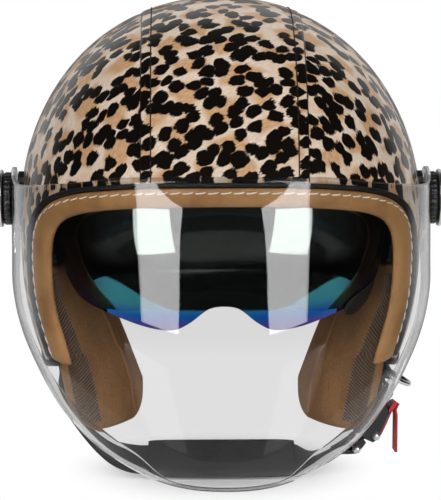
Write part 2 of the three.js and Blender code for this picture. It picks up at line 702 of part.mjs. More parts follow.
function addSunVisor() {
  addPart('sun_visor', lensSolid(), MIRROR_LENS, bodySun);
  for (const [name, side] of [['left', 1], ['right', -1]]) {
    const plate = barAlongX(BRACKET_RADIUS, side * bracketInner, side * bracketOuter, 20);
    const pin = barAlongX(LENS_PIN, side * (LENS_HALF_WIDTH - LENS_WALL - 2), side * bracketOuter, 12);
    addPart(`sun_visor_bracket_${name}`, plate.add(pin), BLACK_PLASTIC);
  }
}

// ---------- clear visor ----------
const visorReach = new THREE.SplineCurve([
  [-146, 31], [-122, 34.5], [-92, 33], [-60, 27], [-30, 17.5], [0, 6], [27, -7],
].map(([z, stand]) => new THREE.Vector2(z, SHELL_FRONT + stand))).getPoints(60);
const visorHalf = new THREE.SplineCurve([
  [-146, 56.2], [-137, 46.2], [-126, 34.9], [-108, 21.6], [-84, 9.4], [-66, 3.2], [-48, 0.2], [-28, 0],
  [27, 0],
].map(([z, inside]) => new THREE.Vector2(z, VISOR_HALF_WIDTH - inside))).getPoints(90);
const visorFoot = new THREE.SplineCurve([
  [-166, -143], [-150, -139], [-125, -131.5], [-95, -123], [-60, -109], [-34, -87], [-17, -64],
  [0, -42], [13, -18], [19, -5],
].map(([y, z]) => new THREE.Vector2(y, z))).getPoints(90);
const visorHead = new THREE.SplineCurve([
  [-166, 26], [-124, 26], [-100, 20], [-60, 15], [-34, 15.6], [-12, 18.6], [2, 18.8], [13, 13.5], [19, 4],
].map(([y, z]) => new THREE.Vector2(y, z))).getPoints(90);
const VISOR_POWER = 2.4;

function visorPoint(station, z, inset) {
  const half = lookUp(visorHalf, z) - inset;
  if (station.behind > 0) return new THREE.Vector3(half * station.side, station.behind, z);
  return new THREE.Vector3(
    half * signedPower(Math.cos(station.turn), 2 / VISOR_POWER),
    -(lookUp(visorReach, z) - inset) * Math.sin(station.turn) ** (2 / VISOR_POWER),
    z,
  );
}

// Height where a station's column meets the top or bottom edge drawn from the side.
function visorLimit(station, edge, inset) {
  let z = lookUp(edge, station.behind > 0 ? station.behind : -100);
  for (let i = 0; i < 30; i += 1) {
    const y = visorPoint(station, z, inset).y;
    z = 0.5 * z + 0.5 * lookUp(edge, y);
  }
  return z;
}

const VISOR_ROWS = 7;
const VISOR_COLUMNS = 20;
const EAR_COLUMNS = 4;
function visorStations() {
  const behind = (side) => Array.from({ length: EAR_COLUMNS }, (_, i) => {
    const share = 1 - i / EAR_COLUMNS;
    return { side, behind: (EAR_RADIUS - 1.2) * Math.sin((share * Math.PI) / 2), turn: 0 };
  });
  const around = Array.from({ length: VISOR_COLUMNS + 1 }, (_, i) => (
    { side: 0, behind: 0, turn: (Math.PI * i) / VISOR_COLUMNS }));
  return [...behind(1), ...around, ...behind(-1).reverse()];
}

// Width of the turned-in rim: nothing under the nose, widest beside the chin, and gone at the ear.
function rimWidth(x, y) {
  const fromMiddle = THREE.MathUtils.smoothstep(Math.abs(x), 28, 56);
  const fromEar = THREE.MathUtils.smoothstep(-y, 18, 120);
  return RIM_LEAST + (RIM_TURN - RIM_LEAST) * fromMiddle * fromEar;
}

function visorSolid() {
  const rings = visorStations().map((station) => {
    const column = (inset) => {
      const [top, foot] = [visorLimit(station, visorHead, inset), visorLimit(station, visorFoot, inset)];
      return Array.from({ length: VISOR_ROWS + 1 }, (_, k) => (
        visorPoint(station, top + ((foot - top) * k) / VISOR_ROWS, inset)));
    };
    const [outer, inner] = [column(0), column(VISOR_WALL)];
    const [outerFoot, innerFoot] = [outer[VISOR_ROWS], inner[VISOR_ROWS]];
    const turn = rimWidth(outerFoot.x, outerFoot.y) * Math.SQRT1_2;
    const inwards = new THREE.Vector3(-outerFoot.x, -outerFoot.y * 0.9, 0).normalize();
    const rimOf = (foot, width) => foot.clone().addScaledVector(inwards, width)
      .add(new THREE.Vector3(0, 0, width * 0.8));
    return [...outer, rimOf(outerFoot, turn + VISOR_WALL), rimOf(innerFoot, turn), ...inner.reverse()];
  });
  const rows = VISOR_ROWS + 1;
  let visor = toSolid(loft(rings, { caps: ribbonFaces(rows) }));
  for (const side of [-1, 1]) visor = visor.subtract(barAlongX(EAR_HOLE, side * 100, side * FAR, 24));
  return visor;
}

const bodyVisor = new THREE.Group();
helmet.add(bodyVisor);

function addClearVisor() {
  addPart('clear_visor', visorSolid(), CLEAR_PLASTIC, bodyVisor);
}

// ---------- visor pivots ----------
// One pivot, drawn with its axis along +X and its zero at the helmet's middle plane.
const earInner = VISOR_HALF_WIDTH - VISOR_WALL;
const bossTop = VISOR_HALF_WIDTH + FIT;
const capTop = bossTop + FIT + CAP_HEIGHT;
const screwSeat = capTop - SCREW_HEAD - FIT;

function knurledBase() {
  const outline = new THREE.Shape(Array.from({ length: BASE_RIBS * 2 }, (_, k) => {
    const angle = (k * Math.PI) / BASE_RIBS;
    const radius = BASE_RADIUS - (k % 2 ? 1.1 : 0);
    return new THREE.Vector2(radius * Math.cos(angle), radius * Math.sin(angle));
  }));
  const bottom = POCKET_FLOOR + FIT;
  const flange = new THREE.ExtrudeGeometry(outline, { depth: earInner - 1.3 - bottom, bevelEnabled: false });
  flange.rotateY(Math.PI / 2).translate(bottom, 0, 0);
  return toSolid(flange)
    .add(barAlongX(BOSS_RADIUS, bottom, bossTop, 20))
    .subtract(barAlongX(SCREW_HOLE, 0, FAR, 12));
}

function roundedCap(radius, from, to, rounding, sides = 24) {
  const profile = [
    [0, from], [radius, from], [radius, to - rounding], [radius - rounding * 0.3, to - rounding * 0.3],
    [radius - rounding, to], [0, to],
  ].map(([r, x]) => new THREE.Vector2(r, x));
  const geometry = new THREE.LatheGeometry(profile, sides);
  return toSolid(geometry.rotateZ(-Math.PI / 2));
}

function addPivot(name, turn) {
  const pivot = new THREE.Group();
  pivot.rotation.z = turn;
  helmet.add(pivot);
  addPart(`visor_base_${name}`, knurledBase(), BLACK_PLASTIC, pivot);
  const cap = roundedCap(CAP_RADIUS, bossTop + FIT, capTop, 1.4)
    .subtract(barAlongX(SCREW_HOLE, 0, FAR, 12))
    .subtract(barAlongX(SCREW_HEAD_RADIUS + FIT, screwSeat, FAR, 14));
  addPart(`visor_cap_${name}`, cap, BLACK_PLASTIC, pivot);
  const disc = roundedCap(DISC_RADIUS, capTop + FIT, capTop + FIT + DISC_HEIGHT, 1);
  addPart(`visor_disc_${name}`, disc, BRIGHT_STEEL, pivot);
  const nutTop = podOuter - FIT;
  const screw = barAlongX(SCREW_RADIUS, nutTop - NUT_HEIGHT, screwSeat + FIT + SCREW_HEAD / 2, 12)
    .add(barAlongX(SCREW_HEAD_RADIUS, screwSeat + FIT, capTop, 14));
  addPart(`visor_screw_${name}`, screw, BRIGHT_STEEL, pivot);
  const nut = barAlongX(NUT_FLAT / Math.sqrt(3), nutTop - NUT_HEIGHT, nutTop, 6)
    .subtract(barAlongX(SCREW_RADIUS + FIT, 0, FAR, 12));
  addPart(`visor_nut_${name}`, nut, BRIGHT_STEEL, pivot);
}

// ---------- chin strap ----------
const vector = (x, y, z) => new THREE.Vector3(x, y, z);
const webGrow = -SHELL_WALL - LINING_FIT - WEB_BEHIND_SHELL - WEB_WALL / 2;

const route = (points) => new THREE.CatmullRomCurve3(points, false, 'centripetal');

// The width direction at a point of a route, square to the route.
function widthOn(line, share, acrossAt) {
  const across = acrossAt(line.getPoint(share)).clone();
  const along = line.getTangent(share);
  return across.addScaledVector(along, -across.dot(along)).normalize();
}

// Webbing along a smooth centre line, with its width laid along a given direction at each point.
function webbing(line, acrossAt, width, wall, steps) {
  const rings = Array.from({ length: steps + 1 }, (_, i) => {
    const at = line.getPoint(i / steps);
    const across = widthOn(line, i / steps, acrossAt);
    const facing = line.getTangent(i / steps).cross(across);
    const corner = (w, f) => at.clone().addScaledVector(across, (w * width) / 2)
      .addScaledVector(facing, (f * wall) / 2);
    return [corner(1, 1), corner(-1, 1), corner(-1, -1), corner(1, -1)];
  });
  return loft(rings);
}

// A frame on hanging webbing at a height: X outwards through it, Y across it and Z up along it.
function frameOn(line, acrossAt, side, z) {
  let [above, below] = [0, 0.5];
  for (let i = 0; i < 30; i += 1) {
    const share = (above + below) / 2;
    if (line.getPoint(share).z > z) above = share;
    else below = share;
  }
  const up = line.getTangent(above).negate();
  const out = widthOn(line, above, acrossAt).cross(up).multiplyScalar(side).normalize();
  return new THREE.Matrix4().makeBasis(out, up.clone().cross(out), up).setPosition(line.getPoint(above));
}

// The webbing hangs close inside the shell, flat against its curve, before it turns under the chin.
const hangEdge = (z, end) => domeHalfWidth(WEB_Y + (end * WEB_WIDTH) / 2, z, webGrow);
const hangPoint = (side, z) => vector((side * (hangEdge(z, -1) + hangEdge(z, 1))) / 2, WEB_Y, z);
const chinAcross = vector(0, Math.cos(radians(CHIN_TILT)), Math.sin(radians(CHIN_TILT)));

function hangAcross(at) {
  const z = Math.max(at.z, -100);
  const lean = (hangEdge(z, 1) - hangEdge(z, -1)) / WEB_WIDTH;
  const inShell = THREE.MathUtils.smoothstep(at.z, -104, -88);
  return vector(Math.sign(at.x) * lean * inShell, 1, 0).normalize();
}

// The buckle's own frame.
const buckleFront = vector(-BUCKLE_DOWN.z, 0, BUCKLE_DOWN.x).normalize();
const buckleUp = BUCKLE_DOWN.clone().negate();
const buckleAcross = buckleUp.clone().cross(buckleFront).normalize();
buckleFront.crossVectors(buckleAcross, buckleUp);
const buckleFrame = new THREE.Matrix4().makeBasis(buckleFront, buckleAcross, buckleUp)
  .setPosition(BUCKLE_AT);
const fromBuckle = (x, z) => vector(x, 0, z).applyMatrix4(buckleFrame);

// The end of the long webbing is sewn round the tongue's pin.
const padHalf = CHIN_PAD_LENGTH / 2;
const chinEnd = vector(padHalf + 4, CHIN_Y, CHIN_Z);
const tonguePin = fromBuckle(TONGUE_PIN_X, TONGUE_PIN_Z);
function tongueLoop() {
  const away = chinEnd.clone().sub(tonguePin);
  away.addScaledVector(buckleAcross, -away.dot(buckleAcross)).normalize();
  const up = buckleAcross.clone().cross(away);
  const round = PIN_RADIUS + FIT + WEB_WALL / 2 + 0.1;
  const single = (WEB_WALL + FIT) / 2 + 0.1;
  return [
    [16, -single], [9, -single], [4.5, -round * 0.8], [0, -round], [-round * 0.8, -round * 0.62],
    [-round * 0.8, round * 0.62], [0, round], [4.5, round * 0.8], [9, single], [13, single],
  ].map(([a, b]) => tonguePin.clone().addScaledVector(away, a).addScaledVector(up, b));
}

// The short webbing goes round the bar at the buckle's head and is sewn back on itself.
const barRound = BAR_RADIUS + FIT + WEB_WALL / 2 + 0.1;
const barLoop = () => [
  [-barRound, 2.5], [-barRound, 0], [-barRound * 0.7, -barRound * 0.72], [0, -barRound],
  [barRound * 0.7, -barRound * 0.72], [barRound, 0], [barRound * 0.85, 2.4], [0.9, 5.2],
].map(([x, z]) => fromBuckle(x, BUCKLE_BAR + z));

const jawX = hangPoint(-1, -101).x;
const longRoute = route([
  ...[WEB_TOP, -78, -90, -101].map((z) => hangPoint(-1, z)),
  vector(jawX - 0.7, WEB_Y, -111), vector(jawX + 3.3, -18.5, -124), vector(jawX + 14.3, -21.5, -139),
  vector(jawX + 28.3, -26, -149.5),
  ...[-1.19, -0.81, -0.4, 0, 0.4, 0.81, 1.08].map((share) => vector(share * padHalf, CHIN_Y, CHIN_Z)),
  ...tongueLoop(),
]);
const shortRoute = route([...[WEB_TOP, -74, -86, -98].map((z) => hangPoint(1, z)), ...barLoop()]);

function longAcross(at) {
  if (at.x > 0) {
    return chinAcross.clone().lerp(buckleAcross, THREE.MathUtils.smoothstep(at.x, 46, 62)).normalize();
  }
  return chinAcross.clone().lerp(hangAcross(at), THREE.MathUtils.smoothstep(-at.x, 50, 88)).normalize();
}
const shortAcross = (at) => hangAcross(at)
  .lerp(buckleAcross, 1 - THREE.MathUtils.smoothstep(at.z, -112, -104)).normalize();

const rivetFrames = [
  ['left', frameOn(shortRoute, shortAcross, 1, RIVET_Z)],
  ['right', frameOn(longRoute, longAcross, -1, RIVET_Z)],
];
const rivetHole = (frame) => barAlongX(RIVET_RADIUS + FIT, -12, 12, 12).transform(frame.elements);

function addStraps() {
  const long = toSolid(webbing(longRoute, longAcross, WEB_WIDTH, WEB_WALL, 50));
  const short = toSolid(webbing(shortRoute, shortAcross, WEB_WIDTH, WEB_WALL, 28));
  addPart('chin_strap_left', short.subtract(rivetHole(rivetFrames[0][1])), WEBBING);
  addPart('chin_strap_right', long.subtract(rivetHole(rivetFrames[1][1])), WEBBING);
  const inner = -WEB_WALL / 2 - FIT;
  const outer = WEB_WALL / 2 + LINING_FIT + SHELL_WALL - 1;
  for (const [name, frame] of rivetFrames) {
    const rivet = barAlongX(RIVET_HEAD, inner - RIVET_HEAD_DEPTH, inner, 18)
      .add(barAlongX(RIVET_RADIUS, inner - 0.5, outer, 12));
    addPart(`strap_rivet_${name}`, rivet, BRIGHT_STEEL).applyMatrix4(frame);
  }
}

// A padded sleeve round the webbing: rounded outside with drawn-in ends, a flat slot inside.
function addChinPad() {
  const around = 14;
  const along = [-1, -0.94, -0.8, -0.4, 0, 0.4, 0.8, 0.94, 1];
  const swell = [0.72, 0.9, 0.98, 1, 1, 1, 0.98, 0.9, 0.72];
  const slotHalf = [WEB_WIDTH / 2 + 0.8, WEB_WALL / 2 + 0.6];
  const rounded = (angle, halfWidth, halfDepth, power) => [
    halfWidth * signedPower(Math.cos(angle), power), halfDepth * signedPower(Math.sin(angle), power),
  ];
  const rings = Array.from({ length: around }, (_, k) => {
    const angle = ((k + 0.5) / around) * 2 * Math.PI;
    const place = (x, [w, d]) => vector(x, w, d);
    const outer = along.map((share, i) => place(share * padHalf, rounded(
      angle, CHIN_PAD_WIDTH / 2 - (1 - swell[i]) * 2, (CHIN_PAD_DEPTH / 2) * swell[i], 0.5,
    )));
    const slot = along.map((share) => place(-share * padHalf, rounded(angle, ...slotHalf, 0.3)));
    return [...outer, ...slot];
  });
  const pad = addPart('chin_pad', loft(rings, { loop: true }), WEBBING);
  pad.rotation.x = radians(CHIN_TILT);
  pad.position.set(0, CHIN_Y, CHIN_Z);
}

// ---------- buckle ----------
const bodyLever = new THREE.Group();
const buckle = new THREE.Group();
buckle.applyMatrix4(buckleFrame);
helmet.add(buckle);
buckle.add(bodyLever);

// A side view drawn in X-Z and extruded across the buckle.
function acrossBuckle(outline, halfWidth, bevel = 0) {
  const shape = new THREE.Shape(outline.map(([x, z]) => new THREE.Vector2(x, z)));
  const geometry = new THREE.ExtrudeGeometry(shape, {
    depth: 2 * (halfWidth - bevel), bevelEnabled: bevel > 0, bevelThickness: bevel, bevelSize: bevel * 0.8,
    bevelOffset: -bevel * 0.8, bevelSegments: 1,
  });
  return toSolid(geometry.translate(0, 0, -(halfWidth - bevel)).rotateX(Math.PI / 2));
}

function barAlongY(radius, from, to, sides, x, z) {
  const geometry = new THREE.CylinderGeometry(radius, radius, to - from, sides);
  return toSolid(geometry.translate(x, (from + to) / 2, z));
}

const channelHalf = TONGUE_WALL / 2 + FIT + 0.2;

function addHousing() {
  const half = BUCKLE_WIDTH / 2;
  const top = BUCKLE_BAR + BAR_RADIUS;
  const side = [
    [BUCKLE_BACK, BUCKLE_FOOT + 1], [BUCKLE_BACK + 1, BUCKLE_FOOT], [BUCKLE_FRONT - 2, BUCKLE_FOOT],
    [BUCKLE_FRONT, BUCKLE_FOOT + 3], [BUCKLE_FRONT, BUCKLE_HEAD - 4], [BUCKLE_FRONT - 3.4, BUCKLE_HEAD],
    [BAR_RADIUS + 0.7, BUCKLE_HEAD + 1.5], [BAR_RADIUS + 0.7, top - 1], [BAR_RADIUS - 0.6, top + 0.4],
    [-BAR_RADIUS + 0.6, top + 0.4], [-BAR_RADIUS - 0.7, top - 1], [-BAR_RADIUS - 0.7, BUCKLE_HEAD + 1.5],
    [BUCKLE_BACK, BUCKLE_HEAD - 0.4],
  ];
  const channel = boxSolid([-channelHalf, -CHANNEL_HALF_WIDTH, BUCKLE_FOOT - 5],
    [channelHalf + TOOTH_RISE + 5, CHANNEL_HALF_WIDTH, BUCKLE_HEAD - BUCKLE_WALL]);
  const recess = boxSolid([channelHalf, -CHANNEL_HALF_WIDTH, BUCKLE_FOOT - 5],
    [FAR, CHANNEL_HALF_WIDTH, BUCKLE_HEAD + 1]);
  const webGap = boxSolid([-FAR, -WEB_WIDTH / 2 - 0.5, BUCKLE_HEAD + 1.5], [FAR, WEB_WIDTH / 2 + 0.5, FAR]);
  const housing = acrossBuckle(side, half, 1)
    .subtract(channel)
    .subtract(recess)
    .subtract(webGap)
    .subtract(barAlongY(PIN_RADIUS + FIT, -half - 2, half + 2, 12, LEVER_PIN_X, LEVER_PIN_Z))
    .add(barAlongY(BAR_RADIUS, -half + 1, half - 1, 14, 0, BUCKLE_BAR));
  addPart('buckle_housing', housing, BLACK_PLASTIC, buckle);
}

// A plastic tongue with a run of saw teeth on its front, and a fork for the webbing's pin.
function addTongue() {
  const half = TONGUE_WALL / 2;
  const teeth = [];
  const toothCount = Math.floor((TONGUE_TIP - 1.5 - (TONGUE_BEND + 1)) / TOOTH_PITCH);
  for (let i = 0; i < toothCount; i += 1) {
    const z = TONGUE_TIP - 1.5 - i * TOOTH_PITCH;
    teeth.push([half, z], [half + TOOTH_RISE, z - TOOTH_PITCH + 0.3]);
  }
  const foot = TONGUE_PIN_Z + 5;
  const side = [
    [-half, TONGUE_TIP - 1], [-half + 0.6, TONGUE_TIP], [half - 0.6, TONGUE_TIP], ...teeth,
    [half, TONGUE_BEND], [half - 1.1, foot], [-half - 1.1, foot], [-half, TONGUE_BEND + 0.5],
  ];
  const plate = acrossBuckle(side, CHANNEL_HALF_WIDTH - FIT);
  const shoulderHalf = WEB_WIDTH / 2 + 2.6;
  const shoulder = acrossBuckle([
    [half - 0.5, TONGUE_BEND - 2], [half + 0.6, foot + 0.6], [TONGUE_PIN_X + 2.2, TONGUE_PIN_Z - 2.2],
    [TONGUE_PIN_X - 2.2, TONGUE_PIN_Z - 2.2], [-half - 2.2, foot + 0.6], [-half - 0.4, TONGUE_BEND - 2],
  ], shoulderHalf, 0.6);
  const gap = boxSolid([-FAR, -WEB_WIDTH / 2 - 0.5, -FAR], [FAR, WEB_WIDTH / 2 + 0.5, foot - 0.6]);
  const tongue = plate.add(shoulder.subtract(gap))
    .subtract(barAlongY(PIN_RADIUS + FIT, -20, 20, 14, TONGUE_PIN_X, TONGUE_PIN_Z));
  addPart('ratchet_tongue', tongue, BLACK_PLASTIC, buckle);
}

// Cross pins with a ball-shaped head that shows at the front.
function addPins() {
  const pins = [
    ['lever_pin', BUCKLE_WIDTH / 2, LEVER_PIN_X, LEVER_PIN_Z],
    ['tongue_pin', WEB_WIDTH / 2 + 2.6, TONGUE_PIN_X, TONGUE_PIN_Z],
  ];
  for (const [name, half, x, z] of pins) {
    const head = new THREE.SphereGeometry(PIN_HEAD, 10, 6).translate(x, -half - FIT - PIN_HEAD * 0.75, z);
    const tail = barAlongY(PIN_RADIUS + 0.8, half + FIT, half + FIT + 1, 12, x, z);
    const pin = barAlongY(PIN_RADIUS, -half - FIT - PIN_HEAD * 0.6, half + FIT + 0.5, 12, x, z);
    addPart(name, pin.add(toSolid(head)).add(tail), BRIGHT_STEEL, buckle);
  }
}

// The red lever: a barrel on the pin, a pawl over the teeth, and a finger plate up the front.
function addLever() {
  const front = BUCKLE_FRONT + 1.6;
  const back = front - LEVER_WALL;
  const pawl = TONGUE_WALL / 2 + TOOTH_RISE + FIT + 0.1;
  const half = CHANNEL_HALF_WIDTH - FIT;
  const outline = [
    [LEVER_PIN_X, LEVER_PIN_Z - LEVER_BARREL], [front - 1, LEVER_PIN_Z - 1.6], [front, LEVER_PIN_Z + 2],
    [front + 0.2, -2], [front, 5], [front + 0.6, 10], [front + 1, LEVER_TIP - 0.6], [front + 0.2, LEVER_TIP],
    [back + 0.8, LEVER_TIP - 1.4], [back, 8], [back, -2], [pawl + 2, -3.4], [pawl, -4.2], [pawl, -5.4],
    [LEVER_PIN_X - 1.8, LEVER_PIN_Z + 2.4],
  ];
  const lever = acrossBuckle(outline, half)
    .add(barAlongY(LEVER_BARREL, -half, half, 18, LEVER_PIN_X, LEVER_PIN_Z))
    .subtract(barAlongY(PIN_RADIUS + FIT, -20, 20, 12, LEVER_PIN_X, LEVER_PIN_Z));
  addPart('release_lever', lever, RED_PLASTIC, bodyLever);

  // The ribbon lies on the finger plate's front, then hangs straight down.
  const down = vector(0, 0, -1).transformDirection(buckleFrame.clone().invert());
  const lift = front + 1 + FIT + RIBBON_WALL / 2;
  const bend = vector(lift, 0, LEVER_TIP - 4.5);
  const hang = (length) => bend.clone().add(vector(0.8, 0, -0.6)).addScaledVector(down, length);
  const line = route([vector(lift + 0.1, 0, LEVER_TIP - 0.5), bend, hang(3), hang(10), hang(18), hang(25)]);
  const ribbon = webbing(line, () => vector(0, 1, 0), RIBBON_WIDTH, RIBBON_WALL, 12);
  addPart('pull_ribbon', ribbon, RED_RIBBON, bodyLever);
}

// ---------- D-ring ----------
function addRing() {
  const loopRadius = RING_WIRE + FIT + RING_LOOP_WALL;
  const stand = new THREE.Group();
  const frame = frameOn(shortRoute, shortAcross, 1, RING_Z);
  stand.position.copy(vector(WEB_WALL / 2 + FIT + loopRadius, 0, 0).applyMatrix4(frame));
  helmet.add(stand);
  const lean = Math.atan2(frame.elements[8], frame.elements[10]);

  const loopHalf = RING_HALF_WIDTH - RING_WIRE - 1.2;
  const tabBack = -loopRadius + 0.3;
  const tab = boxSolid([tabBack, -loopHalf, -5.5], [tabBack + RING_LOOP_WALL, loopHalf, 0]);
  const loop = barAlongY(loopRadius, -loopHalf, loopHalf, 18, 0, 0)
    .add(tab)
    .subtract(barAlongY(RING_WIRE + FIT, -20, 20, 12, 0, 0));
  addPart('d_ring_loop', loop, WEBBING, stand).rotation.y = lean;

  const wire = new THREE.Shape();
  wire.absarc(0, 0, RING_WIRE, 0, 2 * Math.PI, false);
  const bow = Array.from({ length: 9 }, (_, i) => {
    const turn = -Math.PI / 2 + (Math.PI * i) / 8;
    return vector(RING_REACH * Math.cos(turn) ** 0.8, RING_HALF_WIDTH * Math.sin(turn), 0);
  });
  const path = new THREE.CatmullRomCurve3(bow, false, 'centripetal');
  const bowTube = new THREE.ExtrudeGeometry(wire, {
    steps: 16, extrudePath: path, curveSegments: 4, bevelEnabled: false,
  });
  const barHalf = RING_HALF_WIDTH + RING_WIRE * 0.6;
  const bar = barAlongY(RING_WIRE, -barHalf, barHalf, 10, 0, 0);
  const ring = addPart('d_ring', toSolid(bowTube).add(bar), BRIGHT_STEEL, stand);
  ring.rotation.y = radians(RING_DROOP);
}

// ---------- finger tab ----------
// A small rounded grip clipped on the lens's lower edge, on the wearer's left.
function addFingerTab() {
  const rows = [0, 0.25, 0.5, 0.75, 1];
  const rings = Array.from({ length: 9 }, (_, i) => {
    const share = -1 + i / 4;
    const x = TAB_X + (share * TAB_WIDTH) / 2;
    const turn = Math.asin((x / LENS_HALF_WIDTH) ** (LENS_POWER / 2));
    const at = barrel(turn, LENS_REACH, LENS_HALF_WIDTH);
    const edge = lookUp(lensEdge, x);
    const lowest = edge - 1 - (TAB_HEIGHT - 6) * Math.sqrt(Math.max(1 - share * share, 0.02));
    const highest = edge + 6 * Math.sqrt(Math.max(1 - share * share, 0.02));
    const face = (lift, z) => {
      const radius = at.radius + lift;
      return vector(x, -Math.sqrt(Math.max(radius * radius - z * z, 1)), z);
    };
    const zAt = (row) => highest + (lowest - highest) * row;
    return [
      ...rows.map((row) => face(FIT + 0.6 + 1.9 * Math.sin(Math.PI * (0.12 + 0.76 * row)), zAt(row))),
      ...rows.slice().reverse().map((row) => face(FIT, zAt(row))),
    ];
  });
  addPart('sun_visor_tab', loft(rings, { caps: ribbonFaces(rows.length - 1) }), BLACK_RUBBER, bodySun);
}

addShell();
addCover();
addTrims();
addFaceLining();
addFoam();
addCrownLiner();
addBrowBand();
addNeckRoll();
addCheekPads();
addSunVisor();
addClearVisor();
addPivot('left', 0);
addPivot('right', Math.PI);
addFingerTab();
addStraps();
addChinPad();
addHousing();
addTongue();
addPins();
addLever();
addRing();

// Set the helmet on its lowest point, with its box centred on the origin.
const box = new THREE.Box3().setFromObject(helmet);
helmet.position.set(-(box.min.x + box.max.x) / 2, -(box.min.y + box.max.y) / 2, -box.min.z);

export default helmet;
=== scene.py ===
"""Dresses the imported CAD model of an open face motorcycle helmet: leather covers with a spotted print,
clear and mirrored visors, stitched tan lining, padded suede inside, webbing and buckle.

The shapes are worked out in millimetres about the visor's hinge axis, with the same formulas and
driving sizes as the CAD source, and turned into metres in the CAD frame by to_frame().
"""
import math

import bmesh
import bpy
import numpy as np
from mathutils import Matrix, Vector


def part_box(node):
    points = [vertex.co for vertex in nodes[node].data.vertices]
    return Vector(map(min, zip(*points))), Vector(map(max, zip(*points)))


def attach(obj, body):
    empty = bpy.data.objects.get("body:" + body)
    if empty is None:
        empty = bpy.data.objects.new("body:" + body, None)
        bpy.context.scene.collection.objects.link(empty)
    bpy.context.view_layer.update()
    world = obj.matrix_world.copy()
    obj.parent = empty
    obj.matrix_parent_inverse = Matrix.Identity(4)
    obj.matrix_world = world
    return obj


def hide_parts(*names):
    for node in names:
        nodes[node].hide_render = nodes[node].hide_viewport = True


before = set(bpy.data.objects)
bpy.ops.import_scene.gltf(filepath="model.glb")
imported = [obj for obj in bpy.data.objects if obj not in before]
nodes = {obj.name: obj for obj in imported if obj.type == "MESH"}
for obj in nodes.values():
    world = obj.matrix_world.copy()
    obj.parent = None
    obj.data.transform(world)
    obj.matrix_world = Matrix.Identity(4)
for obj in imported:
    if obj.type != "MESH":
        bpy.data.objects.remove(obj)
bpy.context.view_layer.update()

# ---------- driving sizes, in millimetres ----------
SHELL_HALF_WIDTH, SHELL_FRONT, SHELL_REAR, SHELL_RISE = 120.5, 131.0, 135.0, 134.0
SHELL_WALL = 4.0
WIDEST_Y, WIDEST_Z = 12.0, -15.0
DOME_POWER, PLAN_POWER = 2.12, 2.35
TUCK_DEPTH, JAW_TUCK, NAPE_TUCK, TUCK_POWER = 80.0, 0.1, 0.14, 2.5
FIT, LINING_FIT = 0.3, 1.2
SIDE_COVER, CENTRE_COVER = 1.3, 1.8
CENTRE_HALF_WIDTH = 47.7
FOAM, CROWN_PAD, FOAM_SETBACK = 25.0, 5.5, 7.0

hinge_low, hinge_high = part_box("visor_disc_left")
HINGE = (hinge_low + hinge_high) / 2 * 1000
HINGE.x = 0
SIDES = (("left", 1), ("right", -1))  # of the wearer, with the sign of X there


def to_frame(points):
    """Millimetres about the hinge axis to metres in the CAD frame."""
    return (np.asarray(points, float) + np.array(HINGE)) / 1000


# ---------- curves ----------
STEPS_BETWEEN_POINTS = 60


def unit(vectors):
    return vectors / np.linalg.norm(vectors, axis=-1, keepdims=True)


def xyz(x, y, z):
    """Points from their coordinates, any of which may be one number for all."""
    return np.stack(np.broadcast_arrays(x, y, z), -1)


def full_turn(count):
    return np.linspace(0, 2 * math.pi, count, endpoint=False)


def way_along(line):
    """How far along a line each of its points lies."""
    return np.concatenate([[0], np.cumsum(np.linalg.norm(np.diff(line, axis=0), axis=1))])


def looked_up(at, known, values):
    """Every column of values, interpolated from the known places to the places at."""
    return np.stack([np.interp(at, known, column) for column in values.T], -1)


def resampled(line, count):
    """The same line as count evenly spaced points."""
    along = way_along(line)
    return looked_up(np.linspace(0, along[-1], count), along, line)


def spline(points, count):
    """A smooth curve through points, as an array of count points."""
    p = np.asarray(points, float)
    t = np.linspace(0, len(p) - 1, count)
    i = np.minimum(t.astype(int), len(p) - 2)
    w = (t - i)[:, None]
    p0, p1 = p[np.maximum(i - 1, 0)], p[i]
    p2, p3 = p[i + 1], p[np.minimum(i + 2, len(p) - 1)]
    v0, v1 = (p2 - p0) / 2, (p3 - p1) / 2
    return (2 * p1 - 2 * p2 + v0 + v1) * w**3 + (-3 * p1 + 3 * p2 - 2 * v0 - v1) * w**2 + v0 * w + p1


def smooth_path(points, count):
    """An evenly stepped smooth route through points, with its tangents."""
    path = resampled(spline(points, STEPS_BETWEEN_POINTS * len(points)), count)
    return path, unit(np.gradient(path, axis=0))


def smoothstep(x, low, high):
    t = np.clip((np.asarray(x, float) - low) / (high - low), 0, 1)
    return t * t * (3 - 2 * t)


def signed_power(value, power):
    return np.sign(value) * np.abs(value) ** power


# ---------- the shell's family of surfaces ----------
def level_at(z, grow):
    """At a height: half the width, and the reach of the front and of the rear from the widest line."""
    z = np.asarray(z, float)
    share = np.clip((z - WIDEST_Z) / (SHELL_RISE + grow), 0, 1)
    size = (1 - share**DOME_POWER) ** (1 / DOME_POWER)
    drop = (np.maximum(WIDEST_Z - z, 0) / TUCK_DEPTH) ** TUCK_POWER
    jaw, nape = 1 - JAW_TUCK * drop, 1 - NAPE_TUCK * drop
    return (
        (SHELL_HALF_WIDTH + grow) * size * jaw,
        (SHELL_FRONT + grow) * size * jaw,
        (SHELL_REAR + grow) * size * nape,
    )


def dome_half_width(y, z, grow):
    """Half the surface's width where a line along X at (y, z) meets it."""
    half, front, rear = level_at(z, grow)
    y = np.asarray(y, float)
    share = np.abs(y - WIDEST_Y) / np.maximum(np.where(y < WIDEST_Y, front, rear), 1e-6)
    return half * np.clip(1 - share**PLAN_POWER, 0, 1) ** (1 / PLAN_POWER)


